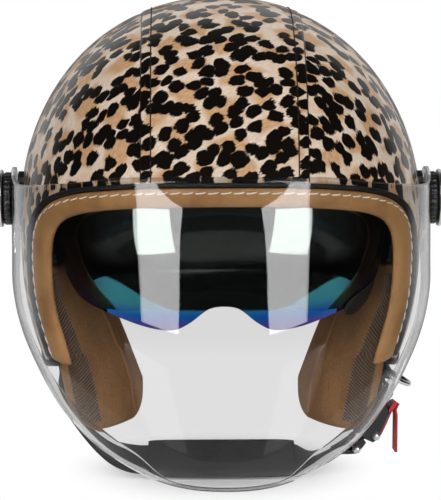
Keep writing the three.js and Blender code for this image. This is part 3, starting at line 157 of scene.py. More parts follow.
def dome_hit(x, turn, grow):
    """The surface's point at width x in the direction turn (radians up from the face) of the side view."""
    x, turn, grow = np.broadcast_arrays(*(np.asarray(v, float) for v in (x, turn, grow)))
    low, high = np.zeros(x.shape), np.full(x.shape, 190.0)
    for _ in range(34):
        reach = (low + high) / 2
        y, z = WIDEST_Y - reach * np.cos(turn), WIDEST_Z + reach * np.sin(turn)
        inside = dome_half_width(y, z, grow) > np.abs(x)
        low, high = np.where(inside, reach, low), np.where(inside, high, reach)
    return np.stack([x, WIDEST_Y - low * np.cos(turn), WIDEST_Z + low * np.sin(turn)], -1)


# ---------- the shell's edge, drawn from the side ----------
EDGE = spline(
    [(-145, 21.5), (-120, 21.3), (-100, 17.5), (-84, 13), (-69, 6), (-58, -4), (-51.5, -18), (-49.5, -38),
     (-49, -58), (-50, -76), (-47, -89), (-36, -95.5), (-14, -96), (30, -92), (80, -84.5), (128, -78),
     (165, -75)],
    3201,
)
EDGE_TANGENT = unit(np.gradient(EDGE, axis=0))
BROW_SIDE_SHARE, CHEEK_SHARE = 0.44, 0.69


def edge_at(share, offset):
    """(y, z) on the edge at a share of its length, moved out of the shell by an offset."""
    at = np.asarray(share, float) * (len(EDGE) - 1)
    row = np.arange(len(EDGE))
    y, z, ty, tz = (np.interp(at, row, c) for c in (*EDGE.T, *EDGE_TANGENT.T))
    return y + offset * tz, z - offset * ty


def middle_share(offset, grow, at_front):
    """The share of the edge's length at which a surface ends in the middle plane."""
    inside, outside = (BROW_SIDE_SHARE, 0.0) if at_front else (CHEEK_SHARE, 1.0)
    for _ in range(40):
        share = (inside + outside) / 2
        if dome_half_width(*edge_at(share, offset), grow) > 0:
            inside = share
        else:
            outside = share
    return inside


def edge_strip(section, steps, end_share, at_front=True, crowd=1.7):
    """Rings of a strip that runs along the edge from side to side, with a drawn section of
    (offset past the edge, growth) points. Steps crowd towards the middle."""
    rails = []
    for offset, grow in section:
        start = middle_share(offset, grow, at_front)
        share = start + (end_share - start) * (np.arange(steps + 1) / steps) ** crowd
        y, z = edge_at(share, offset)
        x = dome_half_width(y, z, grow)
        x[0] = 0
        rails.append(xyz(x, y, z))
    half = np.stack(rails, 1)
    other = half[:0:-1] * [-1, 1, 1]
    return np.concatenate([other, half])


def rounded_section(points, count):
    """A closed smooth section through a loop of points, which is splined with two more at either end."""
    p, steps = np.asarray(points, float), 40
    loop = np.concatenate([p[-2:], p, p[:3]])
    dense = spline(loop, steps * (len(loop) - 1) + 1)[2 * steps:-2 * steps]
    return resampled(dense, count + 1)[:-1]


# ---------- meshes ----------
def mesh_piece(name, points, faces, material, body="shell", slot=None, uv=None, node=None, fill=None):
    """A mesh object from millimetre points, riding on a CAD body. node is the CAD node that it stands for,
    and fill, how tightly a cushion is stuffed, is not used."""
    mesh = bpy.data.meshes.new(name)
    mesh.from_pydata([tuple(p) for p in to_frame(points)], [], [tuple(int(i) for i in f) for f in faces])
    if uv is not None:
        layer = mesh.uv_layers.new(name="pattern")
        for loop in mesh.loops:
            layer.data[loop.index].uv = uv[loop.vertex_index]
    piece = bpy.data.objects.new(name, mesh)
    bpy.context.scene.collection.objects.link(piece)
    tidy = bmesh.new()
    tidy.from_mesh(mesh)
    bmesh.ops.recalc_face_normals(tidy, faces=tidy.faces)
    tidy.to_mesh(mesh)
    tidy.free()
    mesh.polygons.foreach_set("use_smooth", [True] * len(mesh.polygons))
    mesh.materials.append(material)
    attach(piece, body)
    if node:
        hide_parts(node)
    return piece


def ring_faces(rings, count, loop=False):
    """Quads between closed rings of points. A loop joins the last ring to the first, and otherwise each
    end has a face over it."""
    faces = []
    for r in range(rings if loop else rings - 1):
        a, b = r * count, ((r + 1) % rings) * count
        faces += [(a + k, a + (k + 1) % count, b + (k + 1) % count, b + k) for k in range(count)]
    if not loop:
        faces.append(tuple(range(count))[::-1])
        faces.append(tuple((rings - 1) * count + k for k in range(count)))
    return faces


def tube_piece(name, rings, material, loop=False, **options):
    """A skin through rings, an array of shape (rings, points of a ring, 3)."""
    count, around = rings.shape[:2]
    return mesh_piece(name, rings.reshape(-1, 3), ring_faces(count, around, loop), material, **options)


def slab_piece(name, outer, inner, material, closed=False, uv=None, **options):
    """A closed wall between two grids of points of shape (rows, columns, 3). closed joins the last
    column to the first."""
    rows, columns = outer.shape[:2]
    size = rows * columns
    cells = np.arange(size).reshape(rows, columns)
    if closed:
        rims = [[*cells[0]], [*cells[-1, ::-1]]]
        cells = np.concatenate([cells, cells[:, :1]], 1)
    else:
        rims = [[*cells[0], *cells[1:, -1], *cells[-1, -2::-1], *cells[-2:0:-1, 0]]]
    quads = np.stack([cells[:-1, :-1], cells[:-1, 1:], cells[1:, 1:], cells[1:, :-1]], -1)
    faces = [*np.stack([quads, size + quads[..., ::-1]], 2).reshape(-1, 4)]
    for rim in rims:
        faces += [(b, a, size + a, size + b) for a, b in zip(rim, rim[1:] + rim[:1])]
    points = np.concatenate([outer.reshape(-1, 3), inner.reshape(-1, 3)])
    if uv is not None:
        uv = np.concatenate([uv.reshape(-1, 2)] * 2)
    return mesh_piece(name, points, faces, material, uv=uv, **options)


def lathe_piece(name, profile, material, side, segments, **options):
    """A solid of revolution about the hinge axis from (distance along X, radius) points."""
    rings = [[(side * x, r * math.cos(a), r * math.sin(a)) for a in full_turn(segments)] for x, r in profile]
    return tube_piece(name, np.array(rings), material, **options)


def bevel(piece, width, segments, angle):
    mod = piece.modifiers.new("bevel", "BEVEL")
    mod.width = width / 1000
    mod.segments = segments
    mod.limit_method = "ANGLE"
    mod.angle_limit = math.radians(angle)
    mod.harden_normals = True
    return piece


# ---------- materials ----------
MIX_SHARE, MIX_A, MIX_B, MIX_COLOR = 0, 6, 7, 2  # a Mix node's sockets for colours: three in, one out


class Graph:
    """A node tree under construction. Most methods add a node or two and return an output socket."""

    def __init__(self, tree):
        self.tree = tree

    def feed(self, socket, value):
        if isinstance(value, bpy.types.NodeSocket):
            self.tree.links.new(value, socket)
        else:
            socket.default_value = value

    def node(self, kind, inputs=(), **settings):
        made = self.tree.nodes.new(kind)
        for key, value in settings.items():
            setattr(made, key, value)
        for key, value in dict(inputs).items():
            self.feed(made.inputs[key], value)
        return made

    def axes(self, vector):
        return self.node("ShaderNodeSeparateXYZ", {"Vector": vector}).outputs

    def length(self, vector):
        return self.node("ShaderNodeVectorMath", {0: vector}, operation="LENGTH").outputs["Value"]

    def math(self, operation, a, b=0.0, c=0.0, clamp=False):
        inputs = {0: a, 1: b, 2: c}
        return self.node("ShaderNodeMath", inputs, operation=operation, use_clamp=clamp).outputs[0]

    def times(self, a, b):
        return self.math("MULTIPLY", a, b)

    def plus(self, a, b):
        return self.math("ADD", a, b)

    def minus(self, a, b):
        return self.math("SUBTRACT", a, b)

    def size_of(self, value):
        return self.math("ABSOLUTE", value)

    def line(self, value, slope, start):
        """value * slope + start."""
        return self.math("MULTIPLY_ADD", value, slope, start)

    def step(self, value, low, high, start=0.0, end=1.0):
        """start below low and end above high, smooth between."""
        inputs = {"Value": value, "From Min": low, "From Max": high, "To Min": start, "To Max": end}
        return self.node("ShaderNodeMapRange", inputs, interpolation_type="SMOOTHSTEP").outputs["Result"]

    def seen_straight(self):
        """1 for a ray from the camera, also behind glass, and 0 for light and reflections."""
        path = self.node("ShaderNodeLightPath").outputs
        seen = self.math("MAXIMUM", path["Is Camera Ray"], path["Is Transmission Ray"])
        bounced = self.plus(path["Glossy Depth"], path["Diffuse Depth"])
        return self.math("SUBTRACT", seen, bounced, clamp=True)

    def end_in(self, output, share, first, second):
        """Gives the output node shader first where share is 0, and second where it is 1."""
        both = self.node("ShaderNodeMixShader", {0: share, 1: first.outputs[0], 2: second.outputs[0]})
        self.feed(self.tree.nodes[output].inputs["Surface"], both.outputs[0])


class Finish(Graph):
    """A procedural material: one Principled shader and the nodes that feed it."""

    def __init__(self, name, color, rough, **sockets):
        self.material = bpy.data.materials.new(name)
        self.material.use_nodes = True
        super().__init__(self.material.node_tree)
        self.shader = self.tree.nodes["Principled BSDF"]
        self.put("Base Color", (*color, 1))
        self.put("Roughness", rough)
        for socket, value in sockets.items():
            self.put(socket.replace("_", " "), value)

    def put(self, socket, value):
        self.feed(self.shader.inputs[socket], value)

    def place(self):
        """Object coordinates in metres, in the CAD frame."""
        return self.node("ShaderNodeTexCoord").outputs["Object"]

    def uv(self):
        return self.node("ShaderNodeUVMap", uv_map="pattern").outputs["UV"]

    def scaled(self, vector, scale, turn=0.0):
        inputs = {"Vector": vector, "Scale": scale, "Rotation": (0, 0, turn)}
        return self.node("ShaderNodeMapping", inputs).outputs["Vector"]

    def noise(self, vector, scale, detail=3, rough=0.55, output="Fac"):
        inputs = {"Vector": vector, "Scale": scale, "Detail": detail, "Roughness": rough}
        return self.node("ShaderNodeTexNoise", inputs).outputs[output]

    def voronoi(self, vector, scale, feature="F1", randomness=1, dimensions="3D"):
        inputs = {"Vector": vector, "Scale": scale, "Randomness": randomness}
        made = self.node("ShaderNodeTexVoronoi", inputs, feature=feature, voronoi_dimensions=dimensions)
        return made.outputs

    def vector_math(self, operation, a, b):
        return self.node("ShaderNodeVectorMath", {0: a, 1: b}, operation=operation).outputs[0]

    def mix(self, share, a, b):
        """Colour a where share is 0, and b where it is 1."""
        a, b = ((*color, 1) if isinstance(color, tuple) else color for color in (a, b))
        made = self.node("ShaderNodeMix", {MIX_SHARE: share}, data_type="RGBA")
        self.feed(made.inputs[MIX_A], a)
        self.feed(made.inputs[MIX_B], b)
        return made.outputs[MIX_COLOR]

    def bump(self, height, strength, depth):
        """Bump whose height socket is a share of depth in millimetres."""
        inputs = {"Height": height, "Strength": strength, "Distance": depth / 1000}
        self.put("Normal", self.node("ShaderNodeBump", inputs).outputs["Normal"])


def srgb(*values):
    """Linear colour from 0..255 display values."""
    shares = (v / 255 for v in values)
    return tuple(s / 12.92 if s <= 0.04045 else ((s + 0.055) / 1.055) ** 2.4 for s in shares)


# the last is painted shade for the groove where the middle panel is stitched down
BLACK_INK, FADED_INK, CREASE_SHADE = srgb(15, 11, 8), srgb(58, 44, 34), srgb(30, 22, 18)
CREAM, BLUSH, WARM_CREAM = srgb(236, 212, 189), srgb(250, 236, 220), srgb(226, 192, 160)
TAN_SPOT, PALE_SPOT = srgb(204, 156, 110), srgb(230, 190, 150)
ROSETTE_PITCH, BLOT_PITCH = 21.0, 8.4  # millimetres between rosettes, and between the blots round them
HAIR_PITCH, HAIR_LENGTH, HAIR_FRINGE = 0.65, 4.0, 2.6  # millimetres
WANDER = 0.0075  # metres by which the spots' outlines wander
# as shares of the pitch: how deep in a rosette its ring of blots lies and its tan heart begins, and how large
# a blot is and how much larger it can be. Of all blots a few are left out.
RING_DEPTHS, HEART_DEPTHS, BLOT_SIZE, BLOT_SPREAD, LEFT_OUT = (0.02, 0.4), (0.16, 0.36), 0.46, 0.12, 0.04
CREASE_EDGE, TURNED_IN = (0.00025, 0.00055), (0.0012, 0.0006)  # metres from the crease, over which its painted shade fades out, and from the seam


def fringed(f, flat, stroke):
    """The pattern map with wandering outlines whose ends are ragged along the hair."""
    lead = f.line(stroke, HAIR_FRINGE / 500, -HAIR_FRINGE / 1000)
    fringe = f.node("ShaderNodeCombineXYZ", {"Y": lead}).outputs[0]
    wobble = f.vector_math("SUBTRACT", f.noise(flat, 85.0, 2.0, 0.5, "Color"), (0.5, 0.5, 0.5))
    bent = f.vector_math("MULTIPLY", wobble, (WANDER, WANDER, 0))
    place = f.vector_math("ADD", f.vector_math("ADD", flat, bent), fringe)
    return f.scaled(place, (1.12, 0.86, 1))


def rosettes(f, place):
    """1 in the black blots, and how far inside a rosette each point lies."""
    blots = f.voronoi(place, 1000 / BLOT_PITCH, "F1", 0.72, "2D")
    chance = f.node("ShaderNodeSeparateColor", {"Color": blots["Color"]}).outputs
    blot_depth, depth = (
        f.voronoi(at, 1000 / ROSETTE_PITCH, "DISTANCE_TO_EDGE", 0.85, "2D")["Distance"]
        for at in (blots["Position"], place)
    )
    outer, inner = RING_DEPTHS
    on_ring = f.times(f.math("LESS_THAN", blot_depth, inner), f.math("GREATER_THAN", blot_depth, outer))
    kept = f.times(on_ring, f.math("GREATER_THAN", chance["Red"], LEFT_OUT))
    size = f.line(chance["Green"], BLOT_SPREAD, BLOT_SIZE)
    return f.times(f.step(f.minus(size, blots["Distance"]), 0.0, 0.05), kept), depth


def beside_crease(f, sewn):
    """0 on the line of painted shade in the groove where a panel is stitched down, in the part that isn't
    turned into the seam.
    """
    aside = f.size_of(f.axes(f.uv())["X"])
    flat = f.minus(1.0, f.step(aside, *(CENTRE_HALF_WIDTH / 1000 - inset for inset in TURNED_IN)))
    return f.times(f.step(f.size_of(f.minus(aside, sewn / 1000)), *CREASE_EDGE), flat)


def printed_leather(name, hair_turn, sewn=0):
    """Lacquered leather printed with a spotted coat: rings of black blots round tan hearts, with ragged
    ends along the hair. Uses the pattern map, in metres. sewn is how far out its stitched crease lies, which
    gets a line of painted shade."""
    f = Finish(name, CREAM, 0.4, Coat_Weight=0.6, Coat_Roughness=0.04, Coat_IOR=1.5, Specular_IOR_Level=0.25)
    flat = f.scaled(f.uv(), (1, 1, 1), hair_turn)
    stroke = f.noise(f.scaled(flat, (1000 / HAIR_PITCH, 1000 / HAIR_LENGTH, 1)), 1.0, 2, 0.6)
    black, depth = rosettes(f, fringed(f, flat, stroke))
    pale = f.mix(f.step(stroke, 0.42, 0.68), CREAM, BLUSH)
    ground = f.mix(f.step(f.noise(flat, 60.0, 2), 0.4, 0.75), pale, WARM_CREAM)
    heart = f.mix(f.step(stroke, 0.35, 0.72), TAN_SPOT, PALE_SPOT)
    coat = f.mix(f.step(f.line(stroke, 0.16, depth), *HEART_DEPTHS), ground, heart)
    printed = f.mix(black, coat, f.mix(f.step(stroke, 0.66, 0.95), BLACK_INK, FADED_INK))
    if sewn:
        # painted shade along the stitched groove
        printed = f.mix(beside_crease(f, sewn), CREASE_SHADE, printed)
    f.put("Base Color", printed)
    pores = f.voronoi(flat, 1400.0)["Distance"]
    f.bump(f.plus(f.times(pores, 0.4), f.noise(flat, 160.0, 3)), 0.12, 0.2)
    return f.material


CORD_PITCH, CORD_SLANT = 1.6, math.radians(38)  # millimetres between the ribs, and their turn
BEADS_PER_METRE = 260.0


def leather(name, color, darker):
    """Plain supple leather, clouded and softly creased."""
    f = Finish(name, color, 0.42, Coat_Weight=0.15, Coat_Roughness=0.3)
    at = f.place()
    cloud = f.noise(at, 45.0, 4)
    f.put("Base Color", f.mix(f.step(cloud, 0.35, 0.72), color, darker))
    grain = f.voronoi(at, 900.0)["Distance"]
    crease = f.noise(at, 240.0, 4)
    f.put("Roughness", f.line(crease, 0.25, 0.32))
    f.bump(f.plus(f.times(grain, 0.6), crease), 0.45, 0.3)
    return f.material


def suede(name, color, darker, nap=700.0):
    """Brushed fabric or thread. nap is how many fibres there are to the metre."""
    f = Finish(name, color, 0.95, Sheen_Weight=0.35, Sheen_Roughness=0.5)
    at = f.place()
    f.put("Sheen Tint", (*(min(1, c * 3) for c in color), 1))
    brushed = f.noise(f.scaled(at, (1, 1, 0.35)), 70.0, 5, 0.65)
    fibre = f.noise(at, nap, 2)
    tone = f.plus(f.times(brushed, 0.7), f.times(fibre, 0.45))
    f.put("Base Color", f.mix(f.step(tone, 0.35, 0.8), darker, color))
    f.bump(f.plus(f.times(fibre, 0.7), brushed), 0.6, 0.35)
    return f.material


def ribbed_suede(name, color, darker):
    """Corded fabric: slanting soft ribs across the pattern map, with painted shade in the valleys between
    them.
    """
    f = Finish(name, color, 0.95, Sheen_Weight=0.3)
    slanted = f.axes(f.scaled(f.uv(), (1, 1, 1), CORD_SLANT))["X"]
    ridge = f.line(f.math("SINE", f.times(slanted, 2 * math.pi * 1000 / CORD_PITCH)), 0.5, 0.5)
    fibre = f.noise(f.place(), 800.0, 3)
    # painted shade: the valleys between the ribs are darker
    f.put("Base Color", f.mix(f.line(fibre, 0.35, f.times(ridge, 0.75)), darker, color))
    f.bump(f.plus(ridge, f.times(fibre, 0.3)), 0.8, 0.9)
    return f.material


def woven(name, color, darker, pitch):
    """Narrow woven tape in a herringbone, with painted shade in the low parts of the weave. The pattern map
    runs along and across it, in metres.
    """
    f = Finish(name, color, 0.8, Sheen_Weight=0.2)
    at = f.axes(f.uv())
    turn = 2 * math.pi * 1000 / pitch
    across = f.math("SINE", f.times(at["Y"], turn / 2))
    chevron = f.math("SINE", f.plus(f.times(at["X"], turn), f.times(across, 1.6)))
    rib = f.line(chevron, 0.5, 0.5)
    height = f.plus(f.times(rib, 0.7), f.times(f.size_of(across), 0.5))
    # painted shade: the low parts of the weave are darker
    tone = f.line(f.noise(f.place(), 1200.0, 2), 0.4, f.times(height, 0.55))
    f.put("Base Color", f.mix(f.step(tone, 0.1, 0.95), darker, color))
    f.bump(height, 0.7, 0.35)
    return f.material


def moulded(name, color, rough, grain=0.12, scale=900.0):
    """Plastic or rubber with a fine moulded grain and faint handling marks."""
    f = Finish(name, color, rough)
    at = f.place()
    marks = f.noise(at, 35.0, 5, 0.6)
    f.put("Roughness", f.line(f.step(marks, 0.4, 0.75), 0.16, rough - 0.04))
    lighter = tuple(min(1, c * 1.35 + 0.004) for c in color)
    f.put("Base Color", f.mix(f.step(marks, 0.45, 0.8), color, lighter))
    f.bump(f.noise(at, scale, 2), grain, 0.12)
    return f.material


def metal(name, color, rough, turned=False):
    """Bright steel, with a satin finish or with fine lines turned round the hinge axis."""
    f = Finish(name, color, rough, Metallic=1.0)
    at = f.place()
    if turned:
        offset = f.vector_math("SUBTRACT", at, tuple(v / 1000 for v in HINGE))
        radius = f.length(f.vector_math("MULTIPLY", offset, (0, 1, 1)))
        fine = f.noise(f.node("ShaderNodeCombineXYZ", {"X": radius}).outputs[0], 2400.0, 2)
    else:
        fine = f.noise(at, 420.0, 3)
    f.put("Roughness", f.line(fine, 0.22, rough - 0.08))
    f.bump(fine, 0.15, 0.05)
    return f.material


def foam_beads(name):
    """Moulded expanded foam: fused beads."""
    f = Finish(name, srgb(34, 34, 35), 0.85)
    at = f.place()
    seam = f.voronoi(at, BEADS_PER_METRE, "DISTANCE_TO_EDGE")["Distance"]
    bead = f.voronoi(at, BEADS_PER_METRE)["Color"]
    tone = f.node("ShaderNodeSeparateColor", {"Color": bead}).outputs["Red"]
    f.put("Base Color", f.mix(tone, srgb(28, 28, 29), srgb(44, 44, 46)))
    f.bump(f.step(seam, 0.0, 0.12), 0.5, 0.4)
    return f.material


# ---------- leather covers ----------
SEAM_ROLL = 1.6  # width over which a panel's edge turns down into the seam
CREASE = CENTRE_HALF_WIDTH - 6.2  # where the middle panel is stitched down, beside its seams
MAP_REACH_CENTRE, MAP_REACH_SIDE = 0.13, 0.125  # metres of the pattern map to a radian over the dome
HOLE = 21.8  # radius of the hole in the side panels round the visor's pivot


def turn_of(y, z):
    """The direction of a point in the side view, as in dome_hit."""
    return np.mod(np.arctan2(z - WIDEST_Z, WIDEST_Y - y), 2 * math.pi)


def edge_line(grow, at_front):
    """Where a surface meets the shell's edge, from the middle plane out: x, y, z and turn."""
    start = middle_share(0, grow, at_front)
    y, z = edge_at(np.linspace(start, BROW_SIDE_SHARE if at_front else CHEEK_SHARE, 1600), 0)
    x = dome_half_width(y, z, grow)
    x[0] = 0
    return x, y, z, turn_of(y, z)


def edge_turns(x, grow):
    """The turns at which a surface meets the edge at width x, in front and behind."""
    return [np.interp(x, line[0], line[3]) for line in (edge_line(grow, True), edge_line(grow, False))]


def rolled(distance, low, high):
    """Growth that falls from high to low over the last bit before a seam."""
    t = 1 - np.clip(distance / SEAM_ROLL, 0, 1)
    return low + (high - low) * np.sqrt(np.maximum(1 - t * t, 0))


def centre_grid(low, high):
    """The middle panel: columns across, rows from the brow over the top to the nape."""
    half, rows = CENTRE_HALF_WIDTH, 150
    near_edge = half - np.array([0, 0.12, 0.35, 0.75, 1.6])
    x = np.concatenate([-near_edge, np.linspace(-half + 4, half - 4, 44), near_edge[::-1]])
    first, last = edge_turns(np.abs(x), high)
    turn = first + (last - first) * np.linspace(0, 1, rows)[:, None]
    return dome_hit(x, turn, rolled(half - np.abs(x), low, high))


def side_rim(high, around):
    """Points round a side panel's outline in the side view, and which of them lie on the seam."""
    seam_x = CENTRE_HALF_WIDTH + FIT
    front, rear = edge_line(high, True), edge_line(high, False)
    seam = dome_hit(seam_x, np.linspace(*edge_turns(seam_x, high), 200), high)[:, 1:]
    edge = np.concatenate([
        np.stack(rear[1:3], 1)[rear[0] > seam_x],
        np.stack(edge_at(np.linspace(CHEEK_SHARE, BROW_SIDE_SHARE, 900), 0), 1),
        np.stack(front[1:3], 1)[front[0] > seam_x][::-1],
    ])
    loop = np.concatenate([seam, edge, seam[:1]])
    along = way_along(loop)
    at = np.linspace(0, along[-1], around + 1)[:-1]
    return looked_up(at, along, loop), at < along[len(seam) - 1]


def side_grid(low, high):
    """A side panel on the wearer's left: closed columns round the pivot hole, rows out to its edge."""
    rim, on_seam = side_rim(high, 340)
    hole = HOLE * unit(rim)
    share = (1 - (1 - np.linspace(0, 1, 40)) ** 1.9)[:, None, None]
    flat = hole + (rim - hole) * share
    distance = np.linalg.norm(rim - flat, axis=2)
    x = dome_half_width(flat[..., 0], flat[..., 1], rolled(distance, low, high))
    x[-1] = np.where(on_seam, CENTRE_HALF_WIDTH + FIT, x[-1])
    return np.concatenate([x[..., None], flat], 2)


def centre_map(points):
    """The middle panel rolled flat, as metres across and along it."""
    turn = turn_of(points[..., 1], points[..., 2])
    return np.stack([points[..., 0] / 1000, turn * MAP_REACH_CENTRE], -1)


def side_map(points, side):
    """The side panel laid flat round its middle. side also moves the two panels' patterns apart."""
    y, z = points[..., 1] - WIDEST_Y, points[..., 2] - WIDEST_Z
    away = np.hypot(y, z)
    reach = np.arctan2(away, np.abs(points[..., 0])) * MAP_REACH_SIDE / np.maximum(away, 1e-6)
    return np.stack([side * y * reach + side, z * reach], -1)


def add_covers():
    """Three sewn panels of printed leather: over the middle and over each side."""
    side_leather = printed_leather("printed_leather", 0.0)
    centre_leather = printed_leather("printed_leather_centre", math.radians(60), CREASE)
    outer, inner = centre_grid(0.8, FIT + CENTRE_COVER), centre_grid(FIT, FIT)
    slab_piece("centre_panel", outer, inner, centre_leather, uv=centre_map(outer), slot="printed_leather",
               node="cover_centre")
    outer, inner = side_grid(0.6, FIT + SIDE_COVER), side_grid(FIT, FIT)
    for name, side in SIDES:
        flip = [side, 1, 1]
        slab_piece(f"side_panel_{name}", outer * flip, inner * flip, side_leather, closed=True,
                   uv=side_map(outer, side), slot="printed_leather", node=f"cover_{name}")


# ---------- stitches and pipings ----------
def rings_round(path, side, up, radius, around):
    """A round section about each point of a path."""
    turn = full_turn(around)[:, None]
    return path[:, None] + radius * (side[:, None] * np.cos(turn) + up[:, None] * np.sin(turn))


SEAM_STITCH, ROLL_STITCH = (4.6, 3.3, 0.32), (7.1, 6.5, 0.4)  # pitch, length and radius of the thread


def stitches(name, line, normals, material, pitch, length, radius, slant=0.0, lift=0.12):
    """Separate thread stitches along a line of surface points, each dipping into the surface at its
    ends. slant turns them across the line, as a share of their length."""
    along = way_along(line)
    steps, around = 7, 8
    share = np.linspace(-1, 1, steps)[:, None]
    size = radius * (1 - 0.45 * share**6)
    points, faces = [], []
    for k in range(int(along[-1] // pitch)):
        at = k * pitch + (pitch - length) / 2 + length * np.linspace(0, 1, steps)
        path, out = looked_up(at, along, line), unit(looked_up(at, along, normals))
        across = np.cross(unit(np.gradient(path, axis=0)), out)
        path = path + across * share * slant * length / 2 + out * (lift + radius * (0.9 - 1.9 * share**4))
        side = np.cross(unit(np.gradient(path, axis=0)), out)
        first = k * steps * around
        points.append(rings_round(path, side, out, size[:, None], around).reshape(-1, 3))
        faces += [tuple(first + v for v in f) for f in ring_faces(steps, around)]
    return mesh_piece(name, np.concatenate(points), faces, material)


def surface_rail(offset, grow, count, end_share, at_front=True):
    """A line of points along the edge strip's surface from side to side, and its outward normals."""
    line = edge_strip([(offset, grow), (offset, grow + 1)], count, end_share, at_front, crowd=1.3)
    return line[:, 0], unit(line[:, 1] - line[:, 0])


def cord_line(name, line, radius, material):
    """A round bead of piping along a line of points."""
    tangent = unit(np.gradient(line, axis=0))
    side = unit(np.cross(tangent, [0, 0.1, 1.0]))
    return tube_piece(name, rings_round(line, side, np.cross(side, tangent), radius, 12), material)


def add_cover_stitches(thread):
    """A row of stitches on either side of the middle panel."""
    on_leather = FIT + CENTRE_COVER
    for name, side in SIDES:
        first, last = edge_turns(CREASE, on_leather)
        turn = np.linspace(first + 0.04, last - 0.04, 500)
        line, above = (dome_hit(side * CREASE, turn, grow) for grow in (on_leather, on_leather + 1))
        stitches(f"seam_stitches_{name}", line, above - line, thread, *SEAM_STITCH, lift=-0.05)


# ---------- trims and leather roll ----------
TRIM_LIP, TRIM_WALL, TRIM_SEAT = 0.8, 0.9, 0.5
FACE_TRIM_END, BOTTOM_TRIM_END = 0.62, 0.645  # where the strips end, as shares of the shell's edge
OVER_COVER = FIT + CENTRE_COVER + FIT


def add_trims(rubber):
    """Rubber channels that grip the shell and the covers round both openings."""
    top, front, lip = OVER_COVER + TRIM_WALL, TRIM_SEAT + TRIM_WALL, -TRIM_LIP
    section = rounded_section([
        (lip, OVER_COVER - 0.1), (lip - 0.1, OVER_COVER + 0.3), (lip + 0.5, top - 0.05), (-0.3, top + 0.05),
        (TRIM_SEAT + 0.3, top - 0.05), (front, OVER_COVER), (front, 0), (front, -SHELL_WALL + 0.3),
        (TRIM_SEAT + 0.4, -SHELL_WALL), (TRIM_SEAT, -SHELL_WALL + 0.4), (TRIM_SEAT, 0),
        (TRIM_SEAT - 0.1, OVER_COVER - 0.2), (lip, OVER_COVER - 0.15),
    ], 44)
    for node, end, at_front in (
            ("face_edge_trim", FACE_TRIM_END, True), ("bottom_edge_trim", BOTTOM_TRIM_END, False)):
        strip = edge_strip(section, 150, end, at_front)
        tube_piece(f"{node}_soft", strip, rubber, slot="black_rubber", node=node)


ROLL_STAND, ROLL_END, ROLL_PROUD, ROLL_WIDTH, ROLL_TONGUE = 12.4, 0.612, 1.4, 8.4, 6.0
ROLL_OUTER = -SHELL_WALL - LINING_FIT - FIT / 2
ROLL_INNER = ROLL_PROUD - ROLL_WIDTH
ROLL_BACK = TRIM_SEAT + TRIM_WALL + FIT


def add_roll(tan_leather, thread):
    """The stitched leather roll round the face, with a tongue that runs back inside the shell."""
    back, tip = ROLL_BACK, ROLL_STAND
    section = rounded_section([
        (-ROLL_TONGUE, ROLL_OUTER), (back - 1.5, ROLL_OUTER), (back, ROLL_OUTER + 0.8), (back, -2.5),
        (back + 0.1, ROLL_PROUD - 1.2), (back + 1.4, ROLL_PROUD - 0.1), (back + 4.6, ROLL_PROUD - 0.1),
        (tip - 1.9, ROLL_PROUD - 1.9), (tip - 0.1, ROLL_PROUD - 4.8), (tip - 1.5, ROLL_INNER + 1.1),
        (tip - 5, ROLL_INNER + 0.1), (0, ROLL_INNER - 0.7), (-ROLL_TONGUE, ROLL_INNER - 1.2),
    ], 72)
    strip = edge_strip(section, 220, ROLL_END)
    tube_piece("face_roll", strip, tan_leather, slot="tan_leather", node="face_lining")
    (line, normals), (ahead, _) = (
        surface_rail(back + past, ROLL_PROUD - 0.05, 500, ROLL_END - 0.004) for past in (3, 5))
    stitches("roll_stitches", line, normals + 0.9 * unit(ahead - line), thread, *ROLL_STITCH, slant=-0.13)


# ---------- inside ----------
FOAM_OUTER = -SHELL_WALL - FIT
FOAM_INNER = FOAM_OUTER - FOAM
CROWN_OUTER = FOAM_INNER - FIT
CROWN_INNER = CROWN_OUTER - CROWN_PAD
CHEEK_TOP, CHEEK_REAR, NAPE_PAD = -34.0, 42.0, 16.0
BROW_BAND_END, NECK_ROLL_END, CROWN_SEAM = 0.4, 0.84, 42.0
BAND_STAND, BAND_OUTER, NECK_ROLL_STAND = 0.6, FOAM_OUTER - 15.1, 6.0


def add_bands(fabric, piping):
    """The lining's sewn front edge over the brow, and the padded roll round the neck with its piping."""
    back, middle, stand = -FOAM_SETBACK + FIT, (BAND_OUTER + CROWN_INNER) / 2, BAND_STAND
    brow = rounded_section([
        (back, BAND_OUTER - 0.2), (stand - 3.1, BAND_OUTER), (stand - 0.8, BAND_OUTER - 2.6), (stand, middle),
        (stand - 0.8, CROWN_INNER + 3), (stand - 3.4, CROWN_INNER), (back, CROWN_INNER + 0.2),
    ], 48)
    strip = edge_strip(brow, 90, BROW_BAND_END)
    tube_piece("brow_band_soft", strip, fabric, slot="tan_fabric", node="brow_band", fill=0.8)
    lap, lap_outer = -FOAM_SETBACK - NAPE_PAD + 1.5, FOAM_INNER - 1.5 * LINING_FIT
    stand = NECK_ROLL_STAND
    roll = rounded_section([
        (back, FOAM_OUTER - 1), (0, FOAM_OUTER - 2.5), (stand - 2, FOAM_OUTER - 6),
        (stand, FOAM_OUTER - FOAM / 2), (stand - 1, FOAM_OUTER - 0.8 * FOAM), (0, CROWN_INNER + 0.5),
        (back - 1.3, CROWN_INNER - 1.5), (lap + 4, CROWN_INNER - 0.5), (lap, lap_outer - 1.4),
        (lap, lap_outer), (back, lap_outer),
    ], 80)
    strip = edge_strip(roll, 110, NECK_ROLL_END, False)
    tube_piece("neck_roll_soft", strip, fabric, slot="tan_fabric", node="neck_roll", fill=0.8)
    line, _ = surface_rail(4.6, FOAM_OUTER - 8, 200, NECK_ROLL_END - 0.004, False)
    cord_line("neck_piping", line, 0.9, piping)


